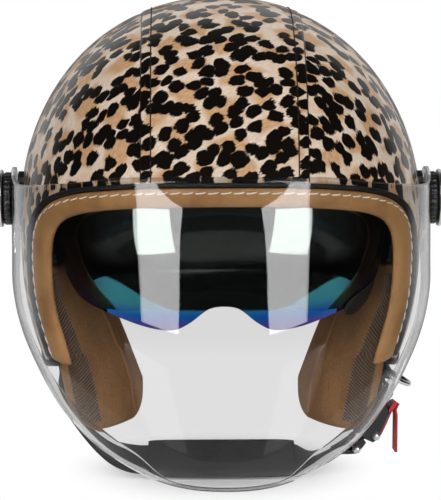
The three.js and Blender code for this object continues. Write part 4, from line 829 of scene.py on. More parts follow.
def crown_foot():
    """The crown liner's lower boundary in the side view, from the brow round the ear to the nape."""
    share = np.linspace(middle_share(-FOAM_SETBACK, CROWN_INNER, True), 1, 2400)
    y, z = edge_at(share, -FOAM_SETBACK)
    top, rear = CHEEK_TOP + 1, CHEEK_REAR + 1
    brow = np.stack([y, z], 1)[(y < 0) & (z > top)]
    nape = np.stack([y, z + NAPE_PAD], 1)[y > rear]
    line = np.concatenate([brow, [[brow[-1][0] + 2, top], [rear, top], [rear, nape[0][1]]], nape])
    return line[dome_half_width(line[:, 0], line[:, 1], CROWN_OUTER) > 0]


def add_crown(fabric):
    """The comfort lining: a middle panel rolled into its seams, and two side panels."""
    rows, columns = 100, 44
    foot = crown_foot()
    ends = []
    for part in (foot[:len(foot) // 2], foot[len(foot) // 2:]):
        x = dome_half_width(part[:, 0], part[:, 1], CROWN_INNER)
        order = np.argsort(x)
        ends.append((x[order], turn_of(part[:, 0], part[:, 1])[order]))
    x = np.linspace(-CROWN_SEAM, CROWN_SEAM, columns)
    first, last = (np.interp(np.abs(x), *end) for end in ends)
    turn = first + (last - first) * np.linspace(0, 1, rows)[:, None]
    seam = rolled(CROWN_SEAM - np.abs(x), -1.6, 0)
    grids = [dome_hit(x, turn, grow) for grow in (CROWN_OUTER, CROWN_INNER - seam)]
    slab_piece("crown_middle", *grids, fabric, slot="tan_fabric", node="crown_liner_centre", fill=0.7)

    seam_x = CROWN_SEAM + FIT
    near, far = (np.interp(seam_x, *end) for end in ends)
    top = dome_hit(seam_x, np.linspace(near, far, rows), CROWN_INNER)[:, 1:]
    inside = dome_half_width(foot[:, 0], foot[:, 1], CROWN_INNER) >= seam_x
    top, low = resampled(top, rows)[:, None], resampled(foot[inside], rows)[:, None]
    share = np.linspace(0, 1, columns)[:, None]
    y, z = np.moveaxis(top * (1 - share) + low * share, -1, 0)
    widths = (dome_half_width(y, z, grow) for grow in (CROWN_OUTER, CROWN_INNER))
    grids = [xyz(np.maximum(width, seam_x), y, z) for width in widths]
    for name, side in SIDES:
        flipped = [grid * [side, 1, 1] for grid in grids]
        slab_piece(f"crown_side_{name}", *flipped, fabric, slot="tan_fabric", node=f"crown_liner_{name}",
                   fill=0.7)


# ---------- cheek pads ----------
PAD_SETBACK, PAD_INSIDE, PAD_SWELL, PAD_RIM, STRAP_GROOVE = 5.6, 38.5, 34.0, 9.5, 4.6
PAD_TOP, PAD_FOOT, PAD_FREE = CHEEK_TOP - 2, -137.0, -95.0
WEB_WIDTH, WEB_Y = 24.0, -18.0
GROOVE_FRONT, GROOVE_REAR = WEB_Y - WEB_WIDTH / 2 - 4, WEB_Y + WEB_WIDTH / 2 + 4


def pad_outer(y, z, in_groove):
    """The outer face follows the shell down to its edge; the strap's groove leans in more below it."""
    below = max(PAD_FREE - z, 0)
    setback = PAD_SETBACK + (STRAP_GROOVE + 0.1 * below if in_groove else 0)
    return float(dome_half_width(y, max(z, PAD_FREE), -setback)) - 0.2 * below


def pad_section(share):
    """A level of the left cheek pad as a smooth closed loop."""
    z = PAD_TOP + (PAD_FOOT - PAD_TOP) * share
    tuck = 1 - math.sqrt(max(1 - (max(share - 0.82, 0) / 0.18) ** 2, 0))
    front = WEB_Y - 22 - 2.5 * min(share * 2, 1) + 12 * tuck
    rear = CHEEK_REAR - 4 - 26 * share**2 - 8 * tuck
    peak = SHELL_HALF_WIDTH - PAD_INSIDE - PAD_SWELL * min(share / 0.75, 1) ** 0.8 + 9 * tuck
    peak_y = 4 - 6 * share

    def outer(y, in_groove=False):
        return pad_outer(y, z, in_groove) - 8 * tuck

    inner = outer(front) - PAD_RIM

    def on_slope(along, across):
        return peak + (inner - peak) * along, peak_y + (front - peak_y) * across

    points = [
        (outer(front + 2), front + 2), (outer(GROOVE_FRONT), max(GROOVE_FRONT, front + 2.5)),
        (outer(GROOVE_FRONT + 1, True), max(GROOVE_FRONT + 1, front + 3.5)),
        (outer(GROOVE_REAR, True), min(GROOVE_REAR, rear - 5)), (outer(rear - 2, True), rear - 2),
        (outer(rear, True) - 3, rear), (peak + (outer(rear) - peak) * 0.45, rear - 1.5),
        (peak + 5, (peak_y + rear) / 2 + 4), (peak, peak_y), on_slope(0.3, 0.42), on_slope(0.7, 0.78),
        (inner, front + 1), (inner + 2.5, front - 0.5), (outer(front) - 1.5, front),
    ]
    return xyz(*rounded_section(points, 96).T, z)


def add_cheek_pads(fabric, ribbed, piping):
    """A cushion inside each side of the shell, with its trim."""
    levels = np.linspace(0, 1, 64)
    rings = np.stack([pad_section(share) for share in levels])
    for name, side in SIDES:
        flip = np.array([side, 1, 1])
        tube_piece(f"cheek_cushion_{name}", rings * flip, fabric, slot="tan_fabric", node=f"cheek_pad_{name}",
                   fill=0.8)
        add_pad_trim(name, flip, levels[3:60], rings[3:60], ribbed, piping)


def add_pad_trim(name, flip, levels, rings, ribbed, piping):
    """The corded strip down the pad's front rim, and the piping along the crest of its inner face."""
    strips, backs, seam = [], [], []
    for share, ring in zip(levels, rings):
        ring = np.roll(ring, -np.argmin(ring[:, 1]), axis=0)
        closed = np.concatenate([ring, ring[:1]])
        along = way_along(closed)
        width = 5 + 6.5 * smoothstep(share, 0.1, 0.45)
        near = looked_up(np.linspace(-width, 4, 22) % along[-1], along, closed)
        out = unit((near - ring.mean(0)) * [1, 1, 0])
        bulge = np.sin(np.linspace(0, math.pi, len(near)))[:, None] ** 0.4
        strips.append(near + out * 1.2 * bulge)
        backs.append(near - out * 1.0)
        crest = looked_up((-width - 31) % along[-1], along, closed)
        seam.append(crest + 0.4 * unit(crest - ring.mean(0)))
    outer, inner = np.stack(strips), np.stack(backs)
    down, across = np.meshgrid(np.linspace(0, 0.095, len(outer)), np.linspace(0, 0.014, outer.shape[1]),
                               indexing="ij")
    slab_piece(f"corded_strip_{name}", outer * flip, inner * flip, ribbed, uv=np.stack([down, across], -1))
    cord_line(f"pad_piping_{name}", np.array(seam) * flip, 0.95, piping)


# ---------- sun visor ----------
LENS_REACH, LENS_HALF_WIDTH = SHELL_FRONT - 26.8, SHELL_HALF_WIDTH - 15.5
LENS_POWER, LENS_WALL, LENS_TOP = 2.35, 2.2, 20.0
LENS_EDGE = spline(  # its lower edge, as height by width
    [(0, -52), (9, -54), (20, -63.5), (30, -68.5), (45, -67), (64, -61), (82, -54), (90, -44), (94.5, -29),
     (98, -17), (103, -8), (107, -4)],
    800,
)
LENS_EYELET = 12.0
TAB_X, TAB_WIDTH, TAB_HEIGHT = LENS_HALF_WIDTH - 24.5, 19.0, 13.0


def barrel(turn, inset):
    """Across and ahead on the lens, which is a barrel about the hinge axis."""
    across = (LENS_HALF_WIDTH - inset) * signed_power(np.sin(turn), 2 / LENS_POWER)
    return across, (LENS_REACH - inset) * np.cos(turn) ** (2 / LENS_POWER)


def lens_edge(x):
    """The height of the lens's lower edge at width x."""
    return np.interp(np.abs(x), LENS_EDGE[:, 0], LENS_EDGE[:, 1])


def grip_ring(share):
    """A section of the finger grip, from its front over three ribs to its back against the lens."""
    x = TAB_X + share * TAB_WIDTH / 2
    _, radius = barrel(np.arcsin((x / LENS_HALF_WIDTH) ** (LENS_POWER / 2)), 0)
    swell = math.sqrt(max(1 - share * share, 0.004))
    top, foot = lens_edge(x) + 6 * swell, lens_edge(x) - 1 - (TAB_HEIGHT - 6) * swell
    row = np.linspace(0, 1, 17)
    z = top + (foot - top) * row
    rib = 0.35 * (0.5 + 0.5 * np.cos(row * math.pi * 8))
    lift = FIT + 0.25 + (2.1 + rib) * np.sin(math.pi * (0.04 + 0.92 * row)) ** 0.7 * swell**0.5
    front, back = (xyz(x, -np.sqrt((radius + out) ** 2 - z * z), z) for out in (lift, FIT))
    return np.concatenate([front, back[::-1]])


def add_sun_visor(lens_material, rubber):
    """The mirrored inner visor, with an eyelet at each pivot and a rubber finger grip on its lower edge."""
    turn = np.radians(86.5) * np.linspace(-1, 1, 150)
    row = np.linspace(0, 1, 34)[:, None]
    x, radius = barrel(turn, 0)
    low = np.degrees(np.arcsin(np.maximum(lens_edge(x) / radius, -0.9)))
    angle = np.radians(low + (LENS_TOP - low) * row)
    grids = []
    for inset in (0, LENS_WALL):
        x, radius = barrel(turn, inset)
        grids.append(xyz(x, -radius * np.cos(angle), radius * np.sin(angle)))
    lens = slab_piece("mirror_lens", *grids, lens_material, body="sun_shield", slot="mirror_lens",
                      node="sun_visor")
    bevel(lens, 0.7, 3, 50)
    outside, inside, rim = LENS_HALF_WIDTH - 0.2, LENS_HALF_WIDTH - 0.2 - LENS_WALL, LENS_EYELET
    profile = [(inside, 3.4), (inside, rim - 0.3), (inside + 0.3, rim), (outside - 0.3, rim),
               (outside, rim - 0.3), (outside, 3.4)]
    for name, side in SIDES:
        lathe_piece(f"lens_eyelet_{name}", profile, lens_material, side, 72, body="sun_shield")
    rings = np.stack([grip_ring(share) for share in np.linspace(-1, 1, 41)])
    tube_piece("finger_grip", rings, rubber, body="sun_shield", slot="black_rubber", node="sun_visor_tab")


# ---------- clear visor ----------
VISOR_WALL, VISOR_POWER, EAR_RADIUS = 2.2, 2.4, 19.5
VISOR_HALF_WIDTH = SHELL_HALF_WIDTH + 5.4
RIM_TURN, RIM_LEAST = 9.0, 0.3  # how far the lower lip turns in, at the sides and in the middle
# by height: how far the bubble reaches ahead of the shell, and how much narrower it is than at the pivots
VISOR_REACH = spline([(-146, 31), (-122, 34.5), (-92, 33), (-60, 27), (-30, 17.5), (0, 6), (27, -7)], 600)
VISOR_NARROW = spline(
    [(-146, 56.2), (-137, 46.2), (-126, 34.9), (-108, 21.6), (-84, 9.4), (-66, 3.2), (-48, 0.2), (-28, 0),
     (27, 0)],
    600,
)
# its lower and its upper edge in the side view
VISOR_FOOT = spline(
    [(-166, -143), (-150, -139), (-125, -131.5), (-95, -123), (-60, -109), (-34, -87), (-17, -64), (0, -42),
     (12, -20), (17.3, -9), (19.4, 0)],
    900,
)
VISOR_HEAD = spline(
    [(-166, 26), (-124, 26), (-100, 20), (-60, 15), (-34, 15.6), (-12, 18.6), (2, 18.9), (12, 14.6),
     (17.4, 8.4), (19.4, 0)],
    900,
)


def visor_points(columns, z, inset):
    """Points of the bubble at heights z. A column is behind the pivots, by a distance on one side, or else
    at a turn round the front."""
    side, behind, turn = columns
    half = VISOR_HALF_WIDTH - np.interp(z, *VISOR_NARROW.T) - inset
    reach = SHELL_FRONT + np.interp(z, *VISOR_REACH.T) - inset
    x = half * np.where(behind > 0, side, signed_power(np.cos(turn), 2 / VISOR_POWER))
    y = np.where(behind > 0, behind, -reach * np.maximum(np.sin(turn), 0) ** (2 / VISOR_POWER))
    return xyz(x, y, z)


def visor_limit(columns, edge, inset):
    """The height at which each column meets an edge drawn in the side view."""
    z = np.interp(np.where(columns[1] > 0, columns[1], -100), *edge.T)
    for _ in range(60):
        z = 0.6 * z + 0.4 * np.interp(visor_points(columns, z, inset)[:, 1], *edge.T)
    return z


def add_clear_visor(glass):
    """The bubble: one wall with two ears, whose lower edge turns inwards in a lip."""
    ear = (EAR_RADIUS - 0.3) * np.sin(np.linspace(1, 0, 26)[:-1] * math.pi / 2)
    share = np.linspace(0, 1, 151)
    around = math.pi * (share - 0.035 * np.sin(2 * math.pi * share))
    middle, ears = 0 * around, 0 * ear
    columns = (np.concatenate([ears + 1, middle, ears - 1]), np.concatenate([ear, middle, ear[::-1]]),
               np.concatenate([ears, around, ears]))
    row = np.linspace(0, 1, 60)[:, None]
    walls = []
    for inset in (0, VISOR_WALL):
        top, foot = (visor_limit(columns, edge, inset) for edge in (VISOR_HEAD, VISOR_FOOT))
        walls.append(visor_points(columns, top + (foot - top) * row, inset))
    outer, inner = walls
    foot = outer[-1]
    widening = smoothstep(np.abs(foot[:, 0]), 28, 56) * smoothstep(-foot[:, 1], 18, 120)
    width = (RIM_LEAST + (RIM_TURN - RIM_LEAST) * widening)[:, None] * math.sqrt(0.5)
    lean = unit(foot * [-1, -0.9, 0]) + [0, 0, 0.8]
    tip, tip_inner = foot + lean * (width + VISOR_WALL), inner[-1] + lean * width
    rings = [*outer, foot + lean * 0.15, tip * 0.9 + foot * 0.1, tip, tip_inner, *inner[::-1]]
    tube_piece("bubble_visor", np.stack(rings, 1), glass, body="visor", slot="clear_plastic",
               node="clear_visor")


# ---------- visor pivots ----------
BOSS_TOP = VISOR_HALF_WIDTH + FIT
CAP_RADIUS, CAP_HEIGHT = 16.0, 5.0
CAP_TOP = BOSS_TOP + FIT + CAP_HEIGHT


def add_pivots(plastic, steel):
    """The knob outside each ear: a finger-grip cap with a turned metal disc on it."""
    low, high, face = BOSS_TOP + FIT, CAP_TOP, CAP_TOP + FIT
    turn = full_turn(288)
    grip = 0.5 + 0.5 * np.cos(turn * 24)
    # distance along the axis, how much narrower than the cap, and how deep the finger grips are there
    cap_profile = [(low, 6, 0), (low, 0.5, 0), (low + 0.5, 0, 0.6), (high - 1.5, 0, 0.7),
                   (high - 0.6, 0.5, 0.5), (high, 1.5, 0), (high, 10.8, 0), (high - 1.9, 11, 0)]
    rises = [(0, 0.01), (0, 16.9), (0.5, 17.4), (1.5, 17.4), (2.2, 17.1), (2.6, 16.4), (2.5, 15.6),
             (2.35, 15.2), (2.35, 6.6), (2.15, 6.3), (2.15, 0.01)]
    disc_profile = [(face + rise, radius) for rise, radius in rises]
    for name, side in SIDES:
        rings = []
        for x, shrink, depth in cap_profile:
            radius = CAP_RADIUS - shrink - depth * grip**3
            rings.append(xyz(side * x, radius * np.cos(turn), radius * np.sin(turn)))
        tube_piece(f"knob_{name}", np.stack(rings), plastic, slot="black_plastic", node=f"visor_cap_{name}")
        disc = lathe_piece(f"turned_disc_{name}", disc_profile, steel, side, 96, slot="bright_steel",
                           node=f"visor_disc_{name}")
        bevel(disc, 0.12, 2, 25)


# ---------- chin strap ----------
WEB_WALL, WEB_TOP = 1.8, -62.0
WEB_GROW = -SHELL_WALL - LINING_FIT - 0.9 - WEB_WALL / 2
CHIN_Y, CHIN_Z, CHIN_TILT = -30.0, -155.0, math.radians(30)
CHIN_PAD_LENGTH, CHIN_PAD_WIDTH, CHIN_PAD_DEPTH = 89.0, 30.0, 7.4
BUCKLE_AT = np.array([SHELL_HALF_WIDTH - 28.5, -20, -130])
BUCKLE_UP = unit(np.array([0.42, 0.1, 0.9]))
BUCKLE_ACROSS = unit(np.cross(BUCKLE_UP, [BUCKLE_UP[2], 0, -BUCKLE_UP[0]]))
BUCKLE_FRONT = np.cross(BUCKLE_ACROSS, BUCKLE_UP)
BUCKLE_BAR, BAR_RADIUS, PIN_RADIUS, TONGUE_PIN = 15.4, 2.3, 1.2, (-2.5, -22.5)
RING_Z, RING_WIRE, RING_HALF_WIDTH, RING_REACH, RING_LOOP_WALL = -104.3, 1.5, 10.5, 14.0, 1.3
RING_DROOP = math.radians(28)
CHIN_ACROSS = np.array([0, math.cos(CHIN_TILT), math.sin(CHIN_TILT)])


def from_buckle(x, z):
    """A point by its distances from the buckle's middle, out of its face and up it."""
    return BUCKLE_AT + x * BUCKLE_FRONT + z * BUCKLE_UP


def hang_edge(z, end):
    """How far out the webbing's front (-1) or rear (1) edge hangs inside the shell."""
    return dome_half_width(WEB_Y + end * WEB_WIDTH / 2, z, WEB_GROW)


def hang_point(side, z):
    """The middle of the hanging webbing at a height."""
    return np.array([side * float(hang_edge(z, -1) + hang_edge(z, 1)) / 2, WEB_Y, z])


def hang_across(at):
    """The webbing's width direction where it hangs inside the shell, and straight back below that."""
    z = np.maximum(at[:, 2], -100)
    lean = (hang_edge(z, 1) - hang_edge(z, -1)) / WEB_WIDTH
    within = smoothstep(at[:, 2], -104, -88)
    return unit(xyz(np.sign(at[:, 0]) * lean * within, 1, 0))


def blended(a, b, share):
    return unit(a + (b - a) * share[:, None])


def square_to(vectors, direction):
    """Unit vectors, made square to a direction of length 1."""
    return unit(vectors - (vectors * direction).sum(-1, keepdims=True) * direction)


def long_across(at):
    """The long webbing's width direction: the shell's, then the chin's, then the buckle's."""
    left = blended(CHIN_ACROSS, BUCKLE_ACROSS, smoothstep(at[:, 0], 46, 62))
    right = blended(CHIN_ACROSS, hang_across(at), smoothstep(-at[:, 0], 50, 88))
    return np.where(at[:, :1] > 0, left, right)


def short_across(at):
    """The short webbing's width direction: the shell's, then the buckle's."""
    return blended(hang_across(at), BUCKLE_ACROSS, 1 - smoothstep(at[:, 2], -112, -104))


def long_route():
    """From the rivet on the wearer's right, under the chin, and round the toothed tongue's pin."""
    jaw = hang_point(-1, -101)[0]
    pad = CHIN_PAD_LENGTH / 2
    pin = from_buckle(*TONGUE_PIN)
    away = square_to([pad + 4, CHIN_Y, CHIN_Z] - pin, BUCKLE_ACROSS)
    up = np.cross(BUCKLE_ACROSS, away)
    turn = PIN_RADIUS + FIT + WEB_WALL / 2 + 0.1
    single = (WEB_WALL + FIT) / 2 + 0.1
    loop = [(16, -single), (9, -single), (4.5, -turn * 0.8), (0, -turn), (-turn * 0.8, -turn * 0.62),
            (-turn * 0.8, turn * 0.62), (0, turn), (4.5, turn * 0.8), (9, single), (13, single)]
    return [
        *(hang_point(-1, z) for z in (WEB_TOP, -78, -90, -101)), (jaw - 0.7, WEB_Y, -111),
        (jaw + 3.3, -18.5, -124), (jaw + 14.3, -21.5, -139), (jaw + 28.3, -26, -149.5),
        *((share * pad, CHIN_Y, CHIN_Z) for share in (-1.19, -0.81, -0.4, 0, 0.4, 0.81, 1.08)),
        *(pin + a * away + b * up for a, b in loop),
    ]


def short_route():
    """From the rivet on the wearer's left down and round the buckle's bar."""
    turn = BAR_RADIUS + FIT + WEB_WALL / 2 + 0.1
    loop = [(-turn, 2.5), (-turn, 0), (-turn * 0.7, -turn * 0.72), (0, -turn), (turn * 0.7, -turn * 0.72),
            (turn, 0), (turn * 0.85, 2.4), (0.9, 5.2)]
    hanging = [hang_point(1, z) for z in (WEB_TOP, -74, -86, -98)]
    return hanging + [from_buckle(x, BUCKLE_BAR + z) for x, z in loop]


def web_piece(name, route, across_at, width, wall, material, count, **options):
    """Woven tape along a route: slightly swollen faces, rounded selvedges, and a map along and across."""
    path, tangent = smooth_path(route, count)
    across = square_to(across_at(path), tangent)
    facing = np.cross(tangent, across)
    over = np.array([(-1, 0.45), (-0.96, 0.9), (-0.88, 1), (0, 1.0), (0.88, 1), (0.96, 0.9), (1, 0.45)])
    w, h = (np.concatenate([over, -over]) * [width / 2, wall / 2]).T
    rings = path[:, None] + across[:, None] * w[:, None] + facing[:, None] * h[:, None]
    uv = np.stack(np.broadcast_arrays(way_along(path)[:, None], w), -1).reshape(-1, 2) / 1000
    return tube_piece(name, rings, material, uv=uv, **options)


def add_straps(webbing):
    """The long and the short webbing of the chin strap."""
    for name, route, across_at, count, node in (
            ("long_webbing", long_route(), long_across, 420, "chin_strap_right"),
            ("short_webbing", short_route(), short_across, 180, "chin_strap_left")):
        web_piece(name, route, across_at, WEB_WIDTH, WEB_WALL, webbing, count, slot="webbing", node=node)


def add_chin_pad(cover):
    """A padded sleeve: swollen faces drawn in at the ends."""
    turn = full_turn(56)
    rings = []
    stations = np.concatenate([[-1, -0.995, -0.985], np.linspace(-0.97, 0.97, 60), [0.985, 0.995, 1]])
    for share in stations:
        swell = 1 - 0.3 * abs(share) ** 9 - 0.02 * (1 + math.cos(share * math.pi * 12)) / 2
        pinch = 1 - 0.25 * smoothstep(abs(share), 0.98, 1.0)
        w = (CHIN_PAD_WIDTH / 2 - 0.5 * abs(share) ** 9) * signed_power(np.cos(turn), 0.42)
        d = CHIN_PAD_DEPTH / 2 * swell * pinch * signed_power(np.sin(turn), 0.55)
        y = CHIN_Y + w * math.cos(CHIN_TILT) - d * math.sin(CHIN_TILT)
        z = CHIN_Z + w * math.sin(CHIN_TILT) + d * math.cos(CHIN_TILT)
        rings.append(xyz(share * CHIN_PAD_LENGTH / 2, y, z))
    tube_piece("chin_sleeve", np.stack(rings), cover, slot="webbing", node="chin_pad", fill=0.6)


def add_ring(steel):
    """The D-ring: one round wire bent into a bow, closed by its straight bar."""
    path, tangent = smooth_path(short_route(), 900)
    k = int(np.argmax(path[:, 2] < RING_Z))
    across = square_to(short_across(path[k:k + 1])[0], tangent[k])
    out = unit(np.cross(tangent[k], across))
    centre = path[k] + out * (WEB_WALL / 2 + FIT + RING_WIRE + FIT + RING_LOOP_WALL)
    turn = np.linspace(-math.pi / 2, math.pi / 2, 60)
    bow = [(RING_REACH * max(math.cos(a), 0) ** 0.8, RING_HALF_WIDTH * math.sin(a)) for a in turn]
    flat = np.array(bow + [(0, RING_HALF_WIDTH * share) for share in np.linspace(0.9, -0.9, 16)])
    ahead = unit(np.roll(flat, -1, axis=0) - np.roll(flat, 1, axis=0))
    sideways = np.stack([ahead[:, 1], -ahead[:, 0]], 1)
    around = full_turn(20)
    rings = []
    for point, aside in zip(flat, sideways):
        x, y = point[:, None] + RING_WIRE * np.cos(around) * aside[:, None]
        z = RING_WIRE * np.sin(around)
        turned_x = x * math.cos(RING_DROOP) + z * math.sin(RING_DROOP)
        turned_z = -x * math.sin(RING_DROOP) + z * math.cos(RING_DROOP)
        rings.append(centre + xyz(turned_x, y, turned_z))
    tube_piece("wire_ring", np.stack(rings), steel, loop=True, body="ring", slot="bright_steel",
               node="d_ring")


LEVER_TIP, LEVER_FACE, RIBBON_WIDTH, RIBBON_WALL = 13.0, 8.8, 12.0, 1.6


def add_ribbon(woven_red):
    """The red pull, which leaves the lever's tip and hangs straight down."""
    lift = LEVER_FACE + 1 + FIT + RIBBON_WALL / 2
    lead = from_buckle(lift + 0.8, LEVER_TIP - 5.1)
    route = [from_buckle(lift + 0.1, LEVER_TIP - 0.5), from_buckle(lift, LEVER_TIP - 4.5),
             *(lead - [0, 0, drop] for drop in (3, 10, 18, 25))]
    web_piece("red_pull", route, lambda path: BUCKLE_ACROSS, RIBBON_WIDTH, RIBBON_WALL, woven_red, 60,
              body="lever", slot="red_ribbon", node="pull_ribbon")


# ---------- see-through and mirrored visors ----------
LOWER_BUBBLE = ((-70, -56), (-142, -128))  # heights between which the visor's hard coat shows little


def clear_glass():
    """Polished clear polycarbonate. The thin wall hardly bends the view, and its hard coat mirrors the
    lamps."""
    f = Finish("clear_polycarbonate", (0.75, 0.75, 0.755), 0.0, IOR=1.06, Transmission_Weight=1.0,
               Coat_Weight=1.0, Coat_Roughness=0.0, Coat_IOR=1.5)
    place = f.place()
    through = f.node("ShaderNodeBsdfTransparent", {"Color": (0.96, 0.97, 0.97, 1)})
    f.end_in("Material Output", f.node("ShaderNodeLightPath").outputs["Is Shadow Ray"], f.shader, through)
    smears = f.noise(place, 18.0, 4, 0.6)
    f.put("Roughness", f.times(f.step(smears, 0.62, 0.8), 0.03))
    height = f.line(f.axes(place)["Z"], 1000.0, -HINGE.z)
    above, below = (f.step(height, *limits) for limits in LOWER_BUBBLE)
    f.put("Coat Weight", f.line(f.math("MAXIMUM", above, f.minus(1.0, below)), 0.8, 0.2))
    return f.material


# from the foot of the lens up: the colours of its mirror coat, and the heights over which the next begins.
# The dark band under the silver is a painted reflection of a dark room in front of the lens
LENS_VIOLET, LENS_BLUE, LENS_TEAL = srgb(112, 36, 156), srgb(6, 98, 190), srgb(70, 160, 172)
LENS_REFLECTED_DARK, LENS_SILVER = srgb(16, 20, 18), srgb(196, 208, 200)
VIOLET_TO_BLUE, BLUE_TO_TEAL, REFLECTED_DARK_TO_SILVER = (-71, -59), (-61, -48), (-30, -16)
REFLECTED_DARK_FOOT, REFLECTED_DARK_RISE, REFLECTED_DARK_SIDES, REFLECTED_DARK_EDGE = -55.0, 19.0, (26, 72), (-0.8, 1.2)  # the painted dark reflection rises outwards
LENS_REFLECTION_WAVE = 7.0  # millimetres by which the colours' heights wander, in a painted reflection of a wavy horizon
# painted shade: the flanks are darker towards their top
FLANK_FOOT, FLANK_SHADED_TOP, FLANK_HEIGHTS, FLANK_FROM = srgb(86, 30, 146), srgb(16, 15, 34), (-56, -30), (64, 84)


def mirrored_lens():
    """Dark tint under a mirror coat: silver at the top, then a dark band, teal, blue, and violet along the
    foot and up the flanks. The dark band is a painted reflection of a dark room, the wandering heights paint
    a reflected horizon, and the flanks' darker top is painted shade."""
    f = Finish("mirror_coat", (0.02, 0.05, 0.08), 0.05, Metallic=1.0)
    place = f.place()
    at = f.axes(place)
    height = f.line(at["Z"], 1000.0, -HINGE.z)
    across = f.times(f.size_of(at["X"]), 1000.0)
    # painted reflection: the colours' heights wander like a mirrored horizon
    level = f.plus(height, f.line(f.noise(place, 14.0, 1), 2 * LENS_REFLECTION_WAVE, -LENS_REFLECTION_WAVE))
    low = f.mix(f.step(level, *VIOLET_TO_BLUE), LENS_VIOLET, LENS_BLUE)
    coloured = f.mix(f.step(level, *BLUE_TO_TEAL), low, LENS_TEAL)
    # painted reflection: a dark band of mirrored room over the coloured foot, rising outwards
    reflected_dark_foot = f.line(f.step(across, *REFLECTED_DARK_SIDES), REFLECTED_DARK_RISE, REFLECTED_DARK_FOOT)
    reflected_dark = f.mix(f.step(f.minus(height, reflected_dark_foot), *REFLECTED_DARK_EDGE), coloured, LENS_REFLECTED_DARK)
    front = f.mix(f.step(level, *REFLECTED_DARK_TO_SILVER), reflected_dark, LENS_SILVER)
    # painted shade: the flanks darken towards the top
    flank = f.mix(f.step(height, *FLANK_HEIGHTS), FLANK_FOOT, FLANK_SHADED_TOP)
    f.put("Base Color", f.mix(f.step(across, *FLANK_FROM), front, flank))
    f.put("Roughness", f.line(f.noise(place, 30.0, 3), 0.05, 0.02))
    return f.material


# ---------- CAD pieces that are shown as they are, with broken edges ----------
def dress(node, material, edge):
    """Gives a CAD piece its material and smooth shading, and breaks its edges by so many millimetres."""
    piece = nodes[node]
    piece.data.materials.clear()
    piece.data.materials.append(material)
    if edge:
        bevel(piece, edge, 2, 30)
    piece.data.polygons.foreach_set("use_smooth", [True] * len(piece.data.polygons))
    piece.modifiers.new("weighted", "WEIGHTED_NORMAL").keep_sharp = True


# ---------- floor, light and camera ----------
MIDDLE = (0, 0, 0)
FILLS = (  # name, place, target, size in metres and watts
    ("fill_left", (-850, -950, 350), MIDDLE, (0.9, 0.9), 4.6),
    ("fill_right", (850, -950, 350), MIDDLE, (0.9, 0.9), 4.6),
    ("fill_front", (0, -1150, 600), MIDDLE, (0.9, 0.9), 2),
    ("fill_top", (0, -250, 1100), MIDDLE, (0.9, 0.9), 4.6),
    ("fill_back", (0, 1000, 500), (0, 0, 60), (1.2, 0.8), 3),
)
TALL_WINDOW = (MIDDLE, (0.44, 0.60), 4.6)  # target, size and watts
LOW_WINDOW = ((0, -95, -12), (0.26, 0.30), 0.5)
# how far back a direction points, from and to, and the room's strength there: from dark in front to bright
# round the back, times a share that falls right behind the helmet
BRIGHTER, DIMMER = (0.45, 0.78, 0.015, 0.72), (0.88, 0.985, 1.0, 0.3)
FLOOR_RADIUS, FLOOR_FADE = 0.25, (0.02, 0.1)  # metres
WHITE = (1, 1, 1, 1)


def area_light(name, at, target, size, power, in_gloss=True, skips=()):
    """A rectangular lamp that doesn't light the pieces it skips. Without in_gloss it shows in no reflection
    and through no glass."""
    data = bpy.data.lights.new(name, "AREA")
    data.shape = "RECTANGLE"
    data.size, data.size_y = size
    data.energy = power
    light = bpy.data.objects.new(name, data)
    aim(light, at, target)
    light.visible_glossy = light.visible_transmission = in_gloss
    if skips:
        unlit = bpy.data.collections.new(f"{name}_skips")
        for piece in skips:
            unlit.objects.link(piece)
        for member in unlit.collection_objects:
            member.light_linking.link_state = "EXCLUDE"
        light.light_linking.receiver_collection = unlit
    bpy.context.scene.collection.objects.link(light)


def aim(thing, at, target):
    """Puts a lamp or the camera at a place in millimetres, turned to a target."""
    thing.location = to_frame(at)
    ahead = Vector(to_frame(target)) - thing.location
    thing.rotation_euler = ahead.to_track_quat("-Z", "Y").to_euler()


def add_floor():
    """A round table that fades to white for the camera."""
    outline = [(FLOOR_RADIUS * math.cos(a), FLOOR_RADIUS * math.sin(a), 0) for a in full_turn(128)]
    mesh = bpy.data.meshes.new("floor")
    mesh.from_pydata(outline, [], [tuple(range(len(outline)))])
    floor = bpy.data.objects.new("floor", mesh)
    bpy.context.scene.collection.objects.link(floor)
    f = Finish("pale_floor", (0.9, 0.9, 0.9), 0.6)
    mesh.materials.append(f.material)
    near_edge = f.step(f.length(f.place()), *FLOOR_FADE)
    white = f.node("ShaderNodeEmission", {"Color": WHITE, "Strength": 1.0})
    f.end_in("Material Output", f.times(near_edge, f.seen_straight()), f.shader, white)


def add_room():
    """White for the camera. Light and reflections find it dark in front and bright round the back."""
    world = bpy.data.worlds.new("studio")
    bpy.context.scene.world = world
    world.use_nodes = True
    g = Graph(world.node_tree)
    back = g.axes(g.node("ShaderNodeTexCoord").outputs["Generated"])["Y"]
    room = g.tree.nodes["Background"]
    g.feed(room.inputs["Color"], WHITE)
    g.feed(room.inputs["Strength"], g.times(g.step(back, *BRIGHTER), g.step(back, *DIMMER)))
    white = g.node("ShaderNodeBackground", {"Color": WHITE})
    g.end_in("World Output", g.seen_straight(), room, white)


def add_lamps():
    """Soft lamps for the light, two tall windows for the clear visor and two low ones for the lens. Left
    and right are the camera's."""
    for fill in FILLS:
        area_light(*fill, in_gloss=False)
    leather = [bpy.data.objects[name] for name in ("centre_panel", "side_panel_left", "side_panel_right")]
    for name, side in (("left", -1), ("right", 1)):
        area_light(f"window_{name}", (side * 497, -1040, 600), *TALL_WINDOW, skips=leather)
        area_light(f"low_window_{name}", (side * 330, -520, -150), *LOW_WINDOW)


CAMERA_DISTANCE, CAMERA_RISE, CAMERA_TURN = 1350.0, math.radians(8), math.radians(1.3)
CAMERA_TARGET = np.array([0, 0, -32.0])
SENSOR_HEIGHT, FOCAL_LENGTH = 24, 106.2


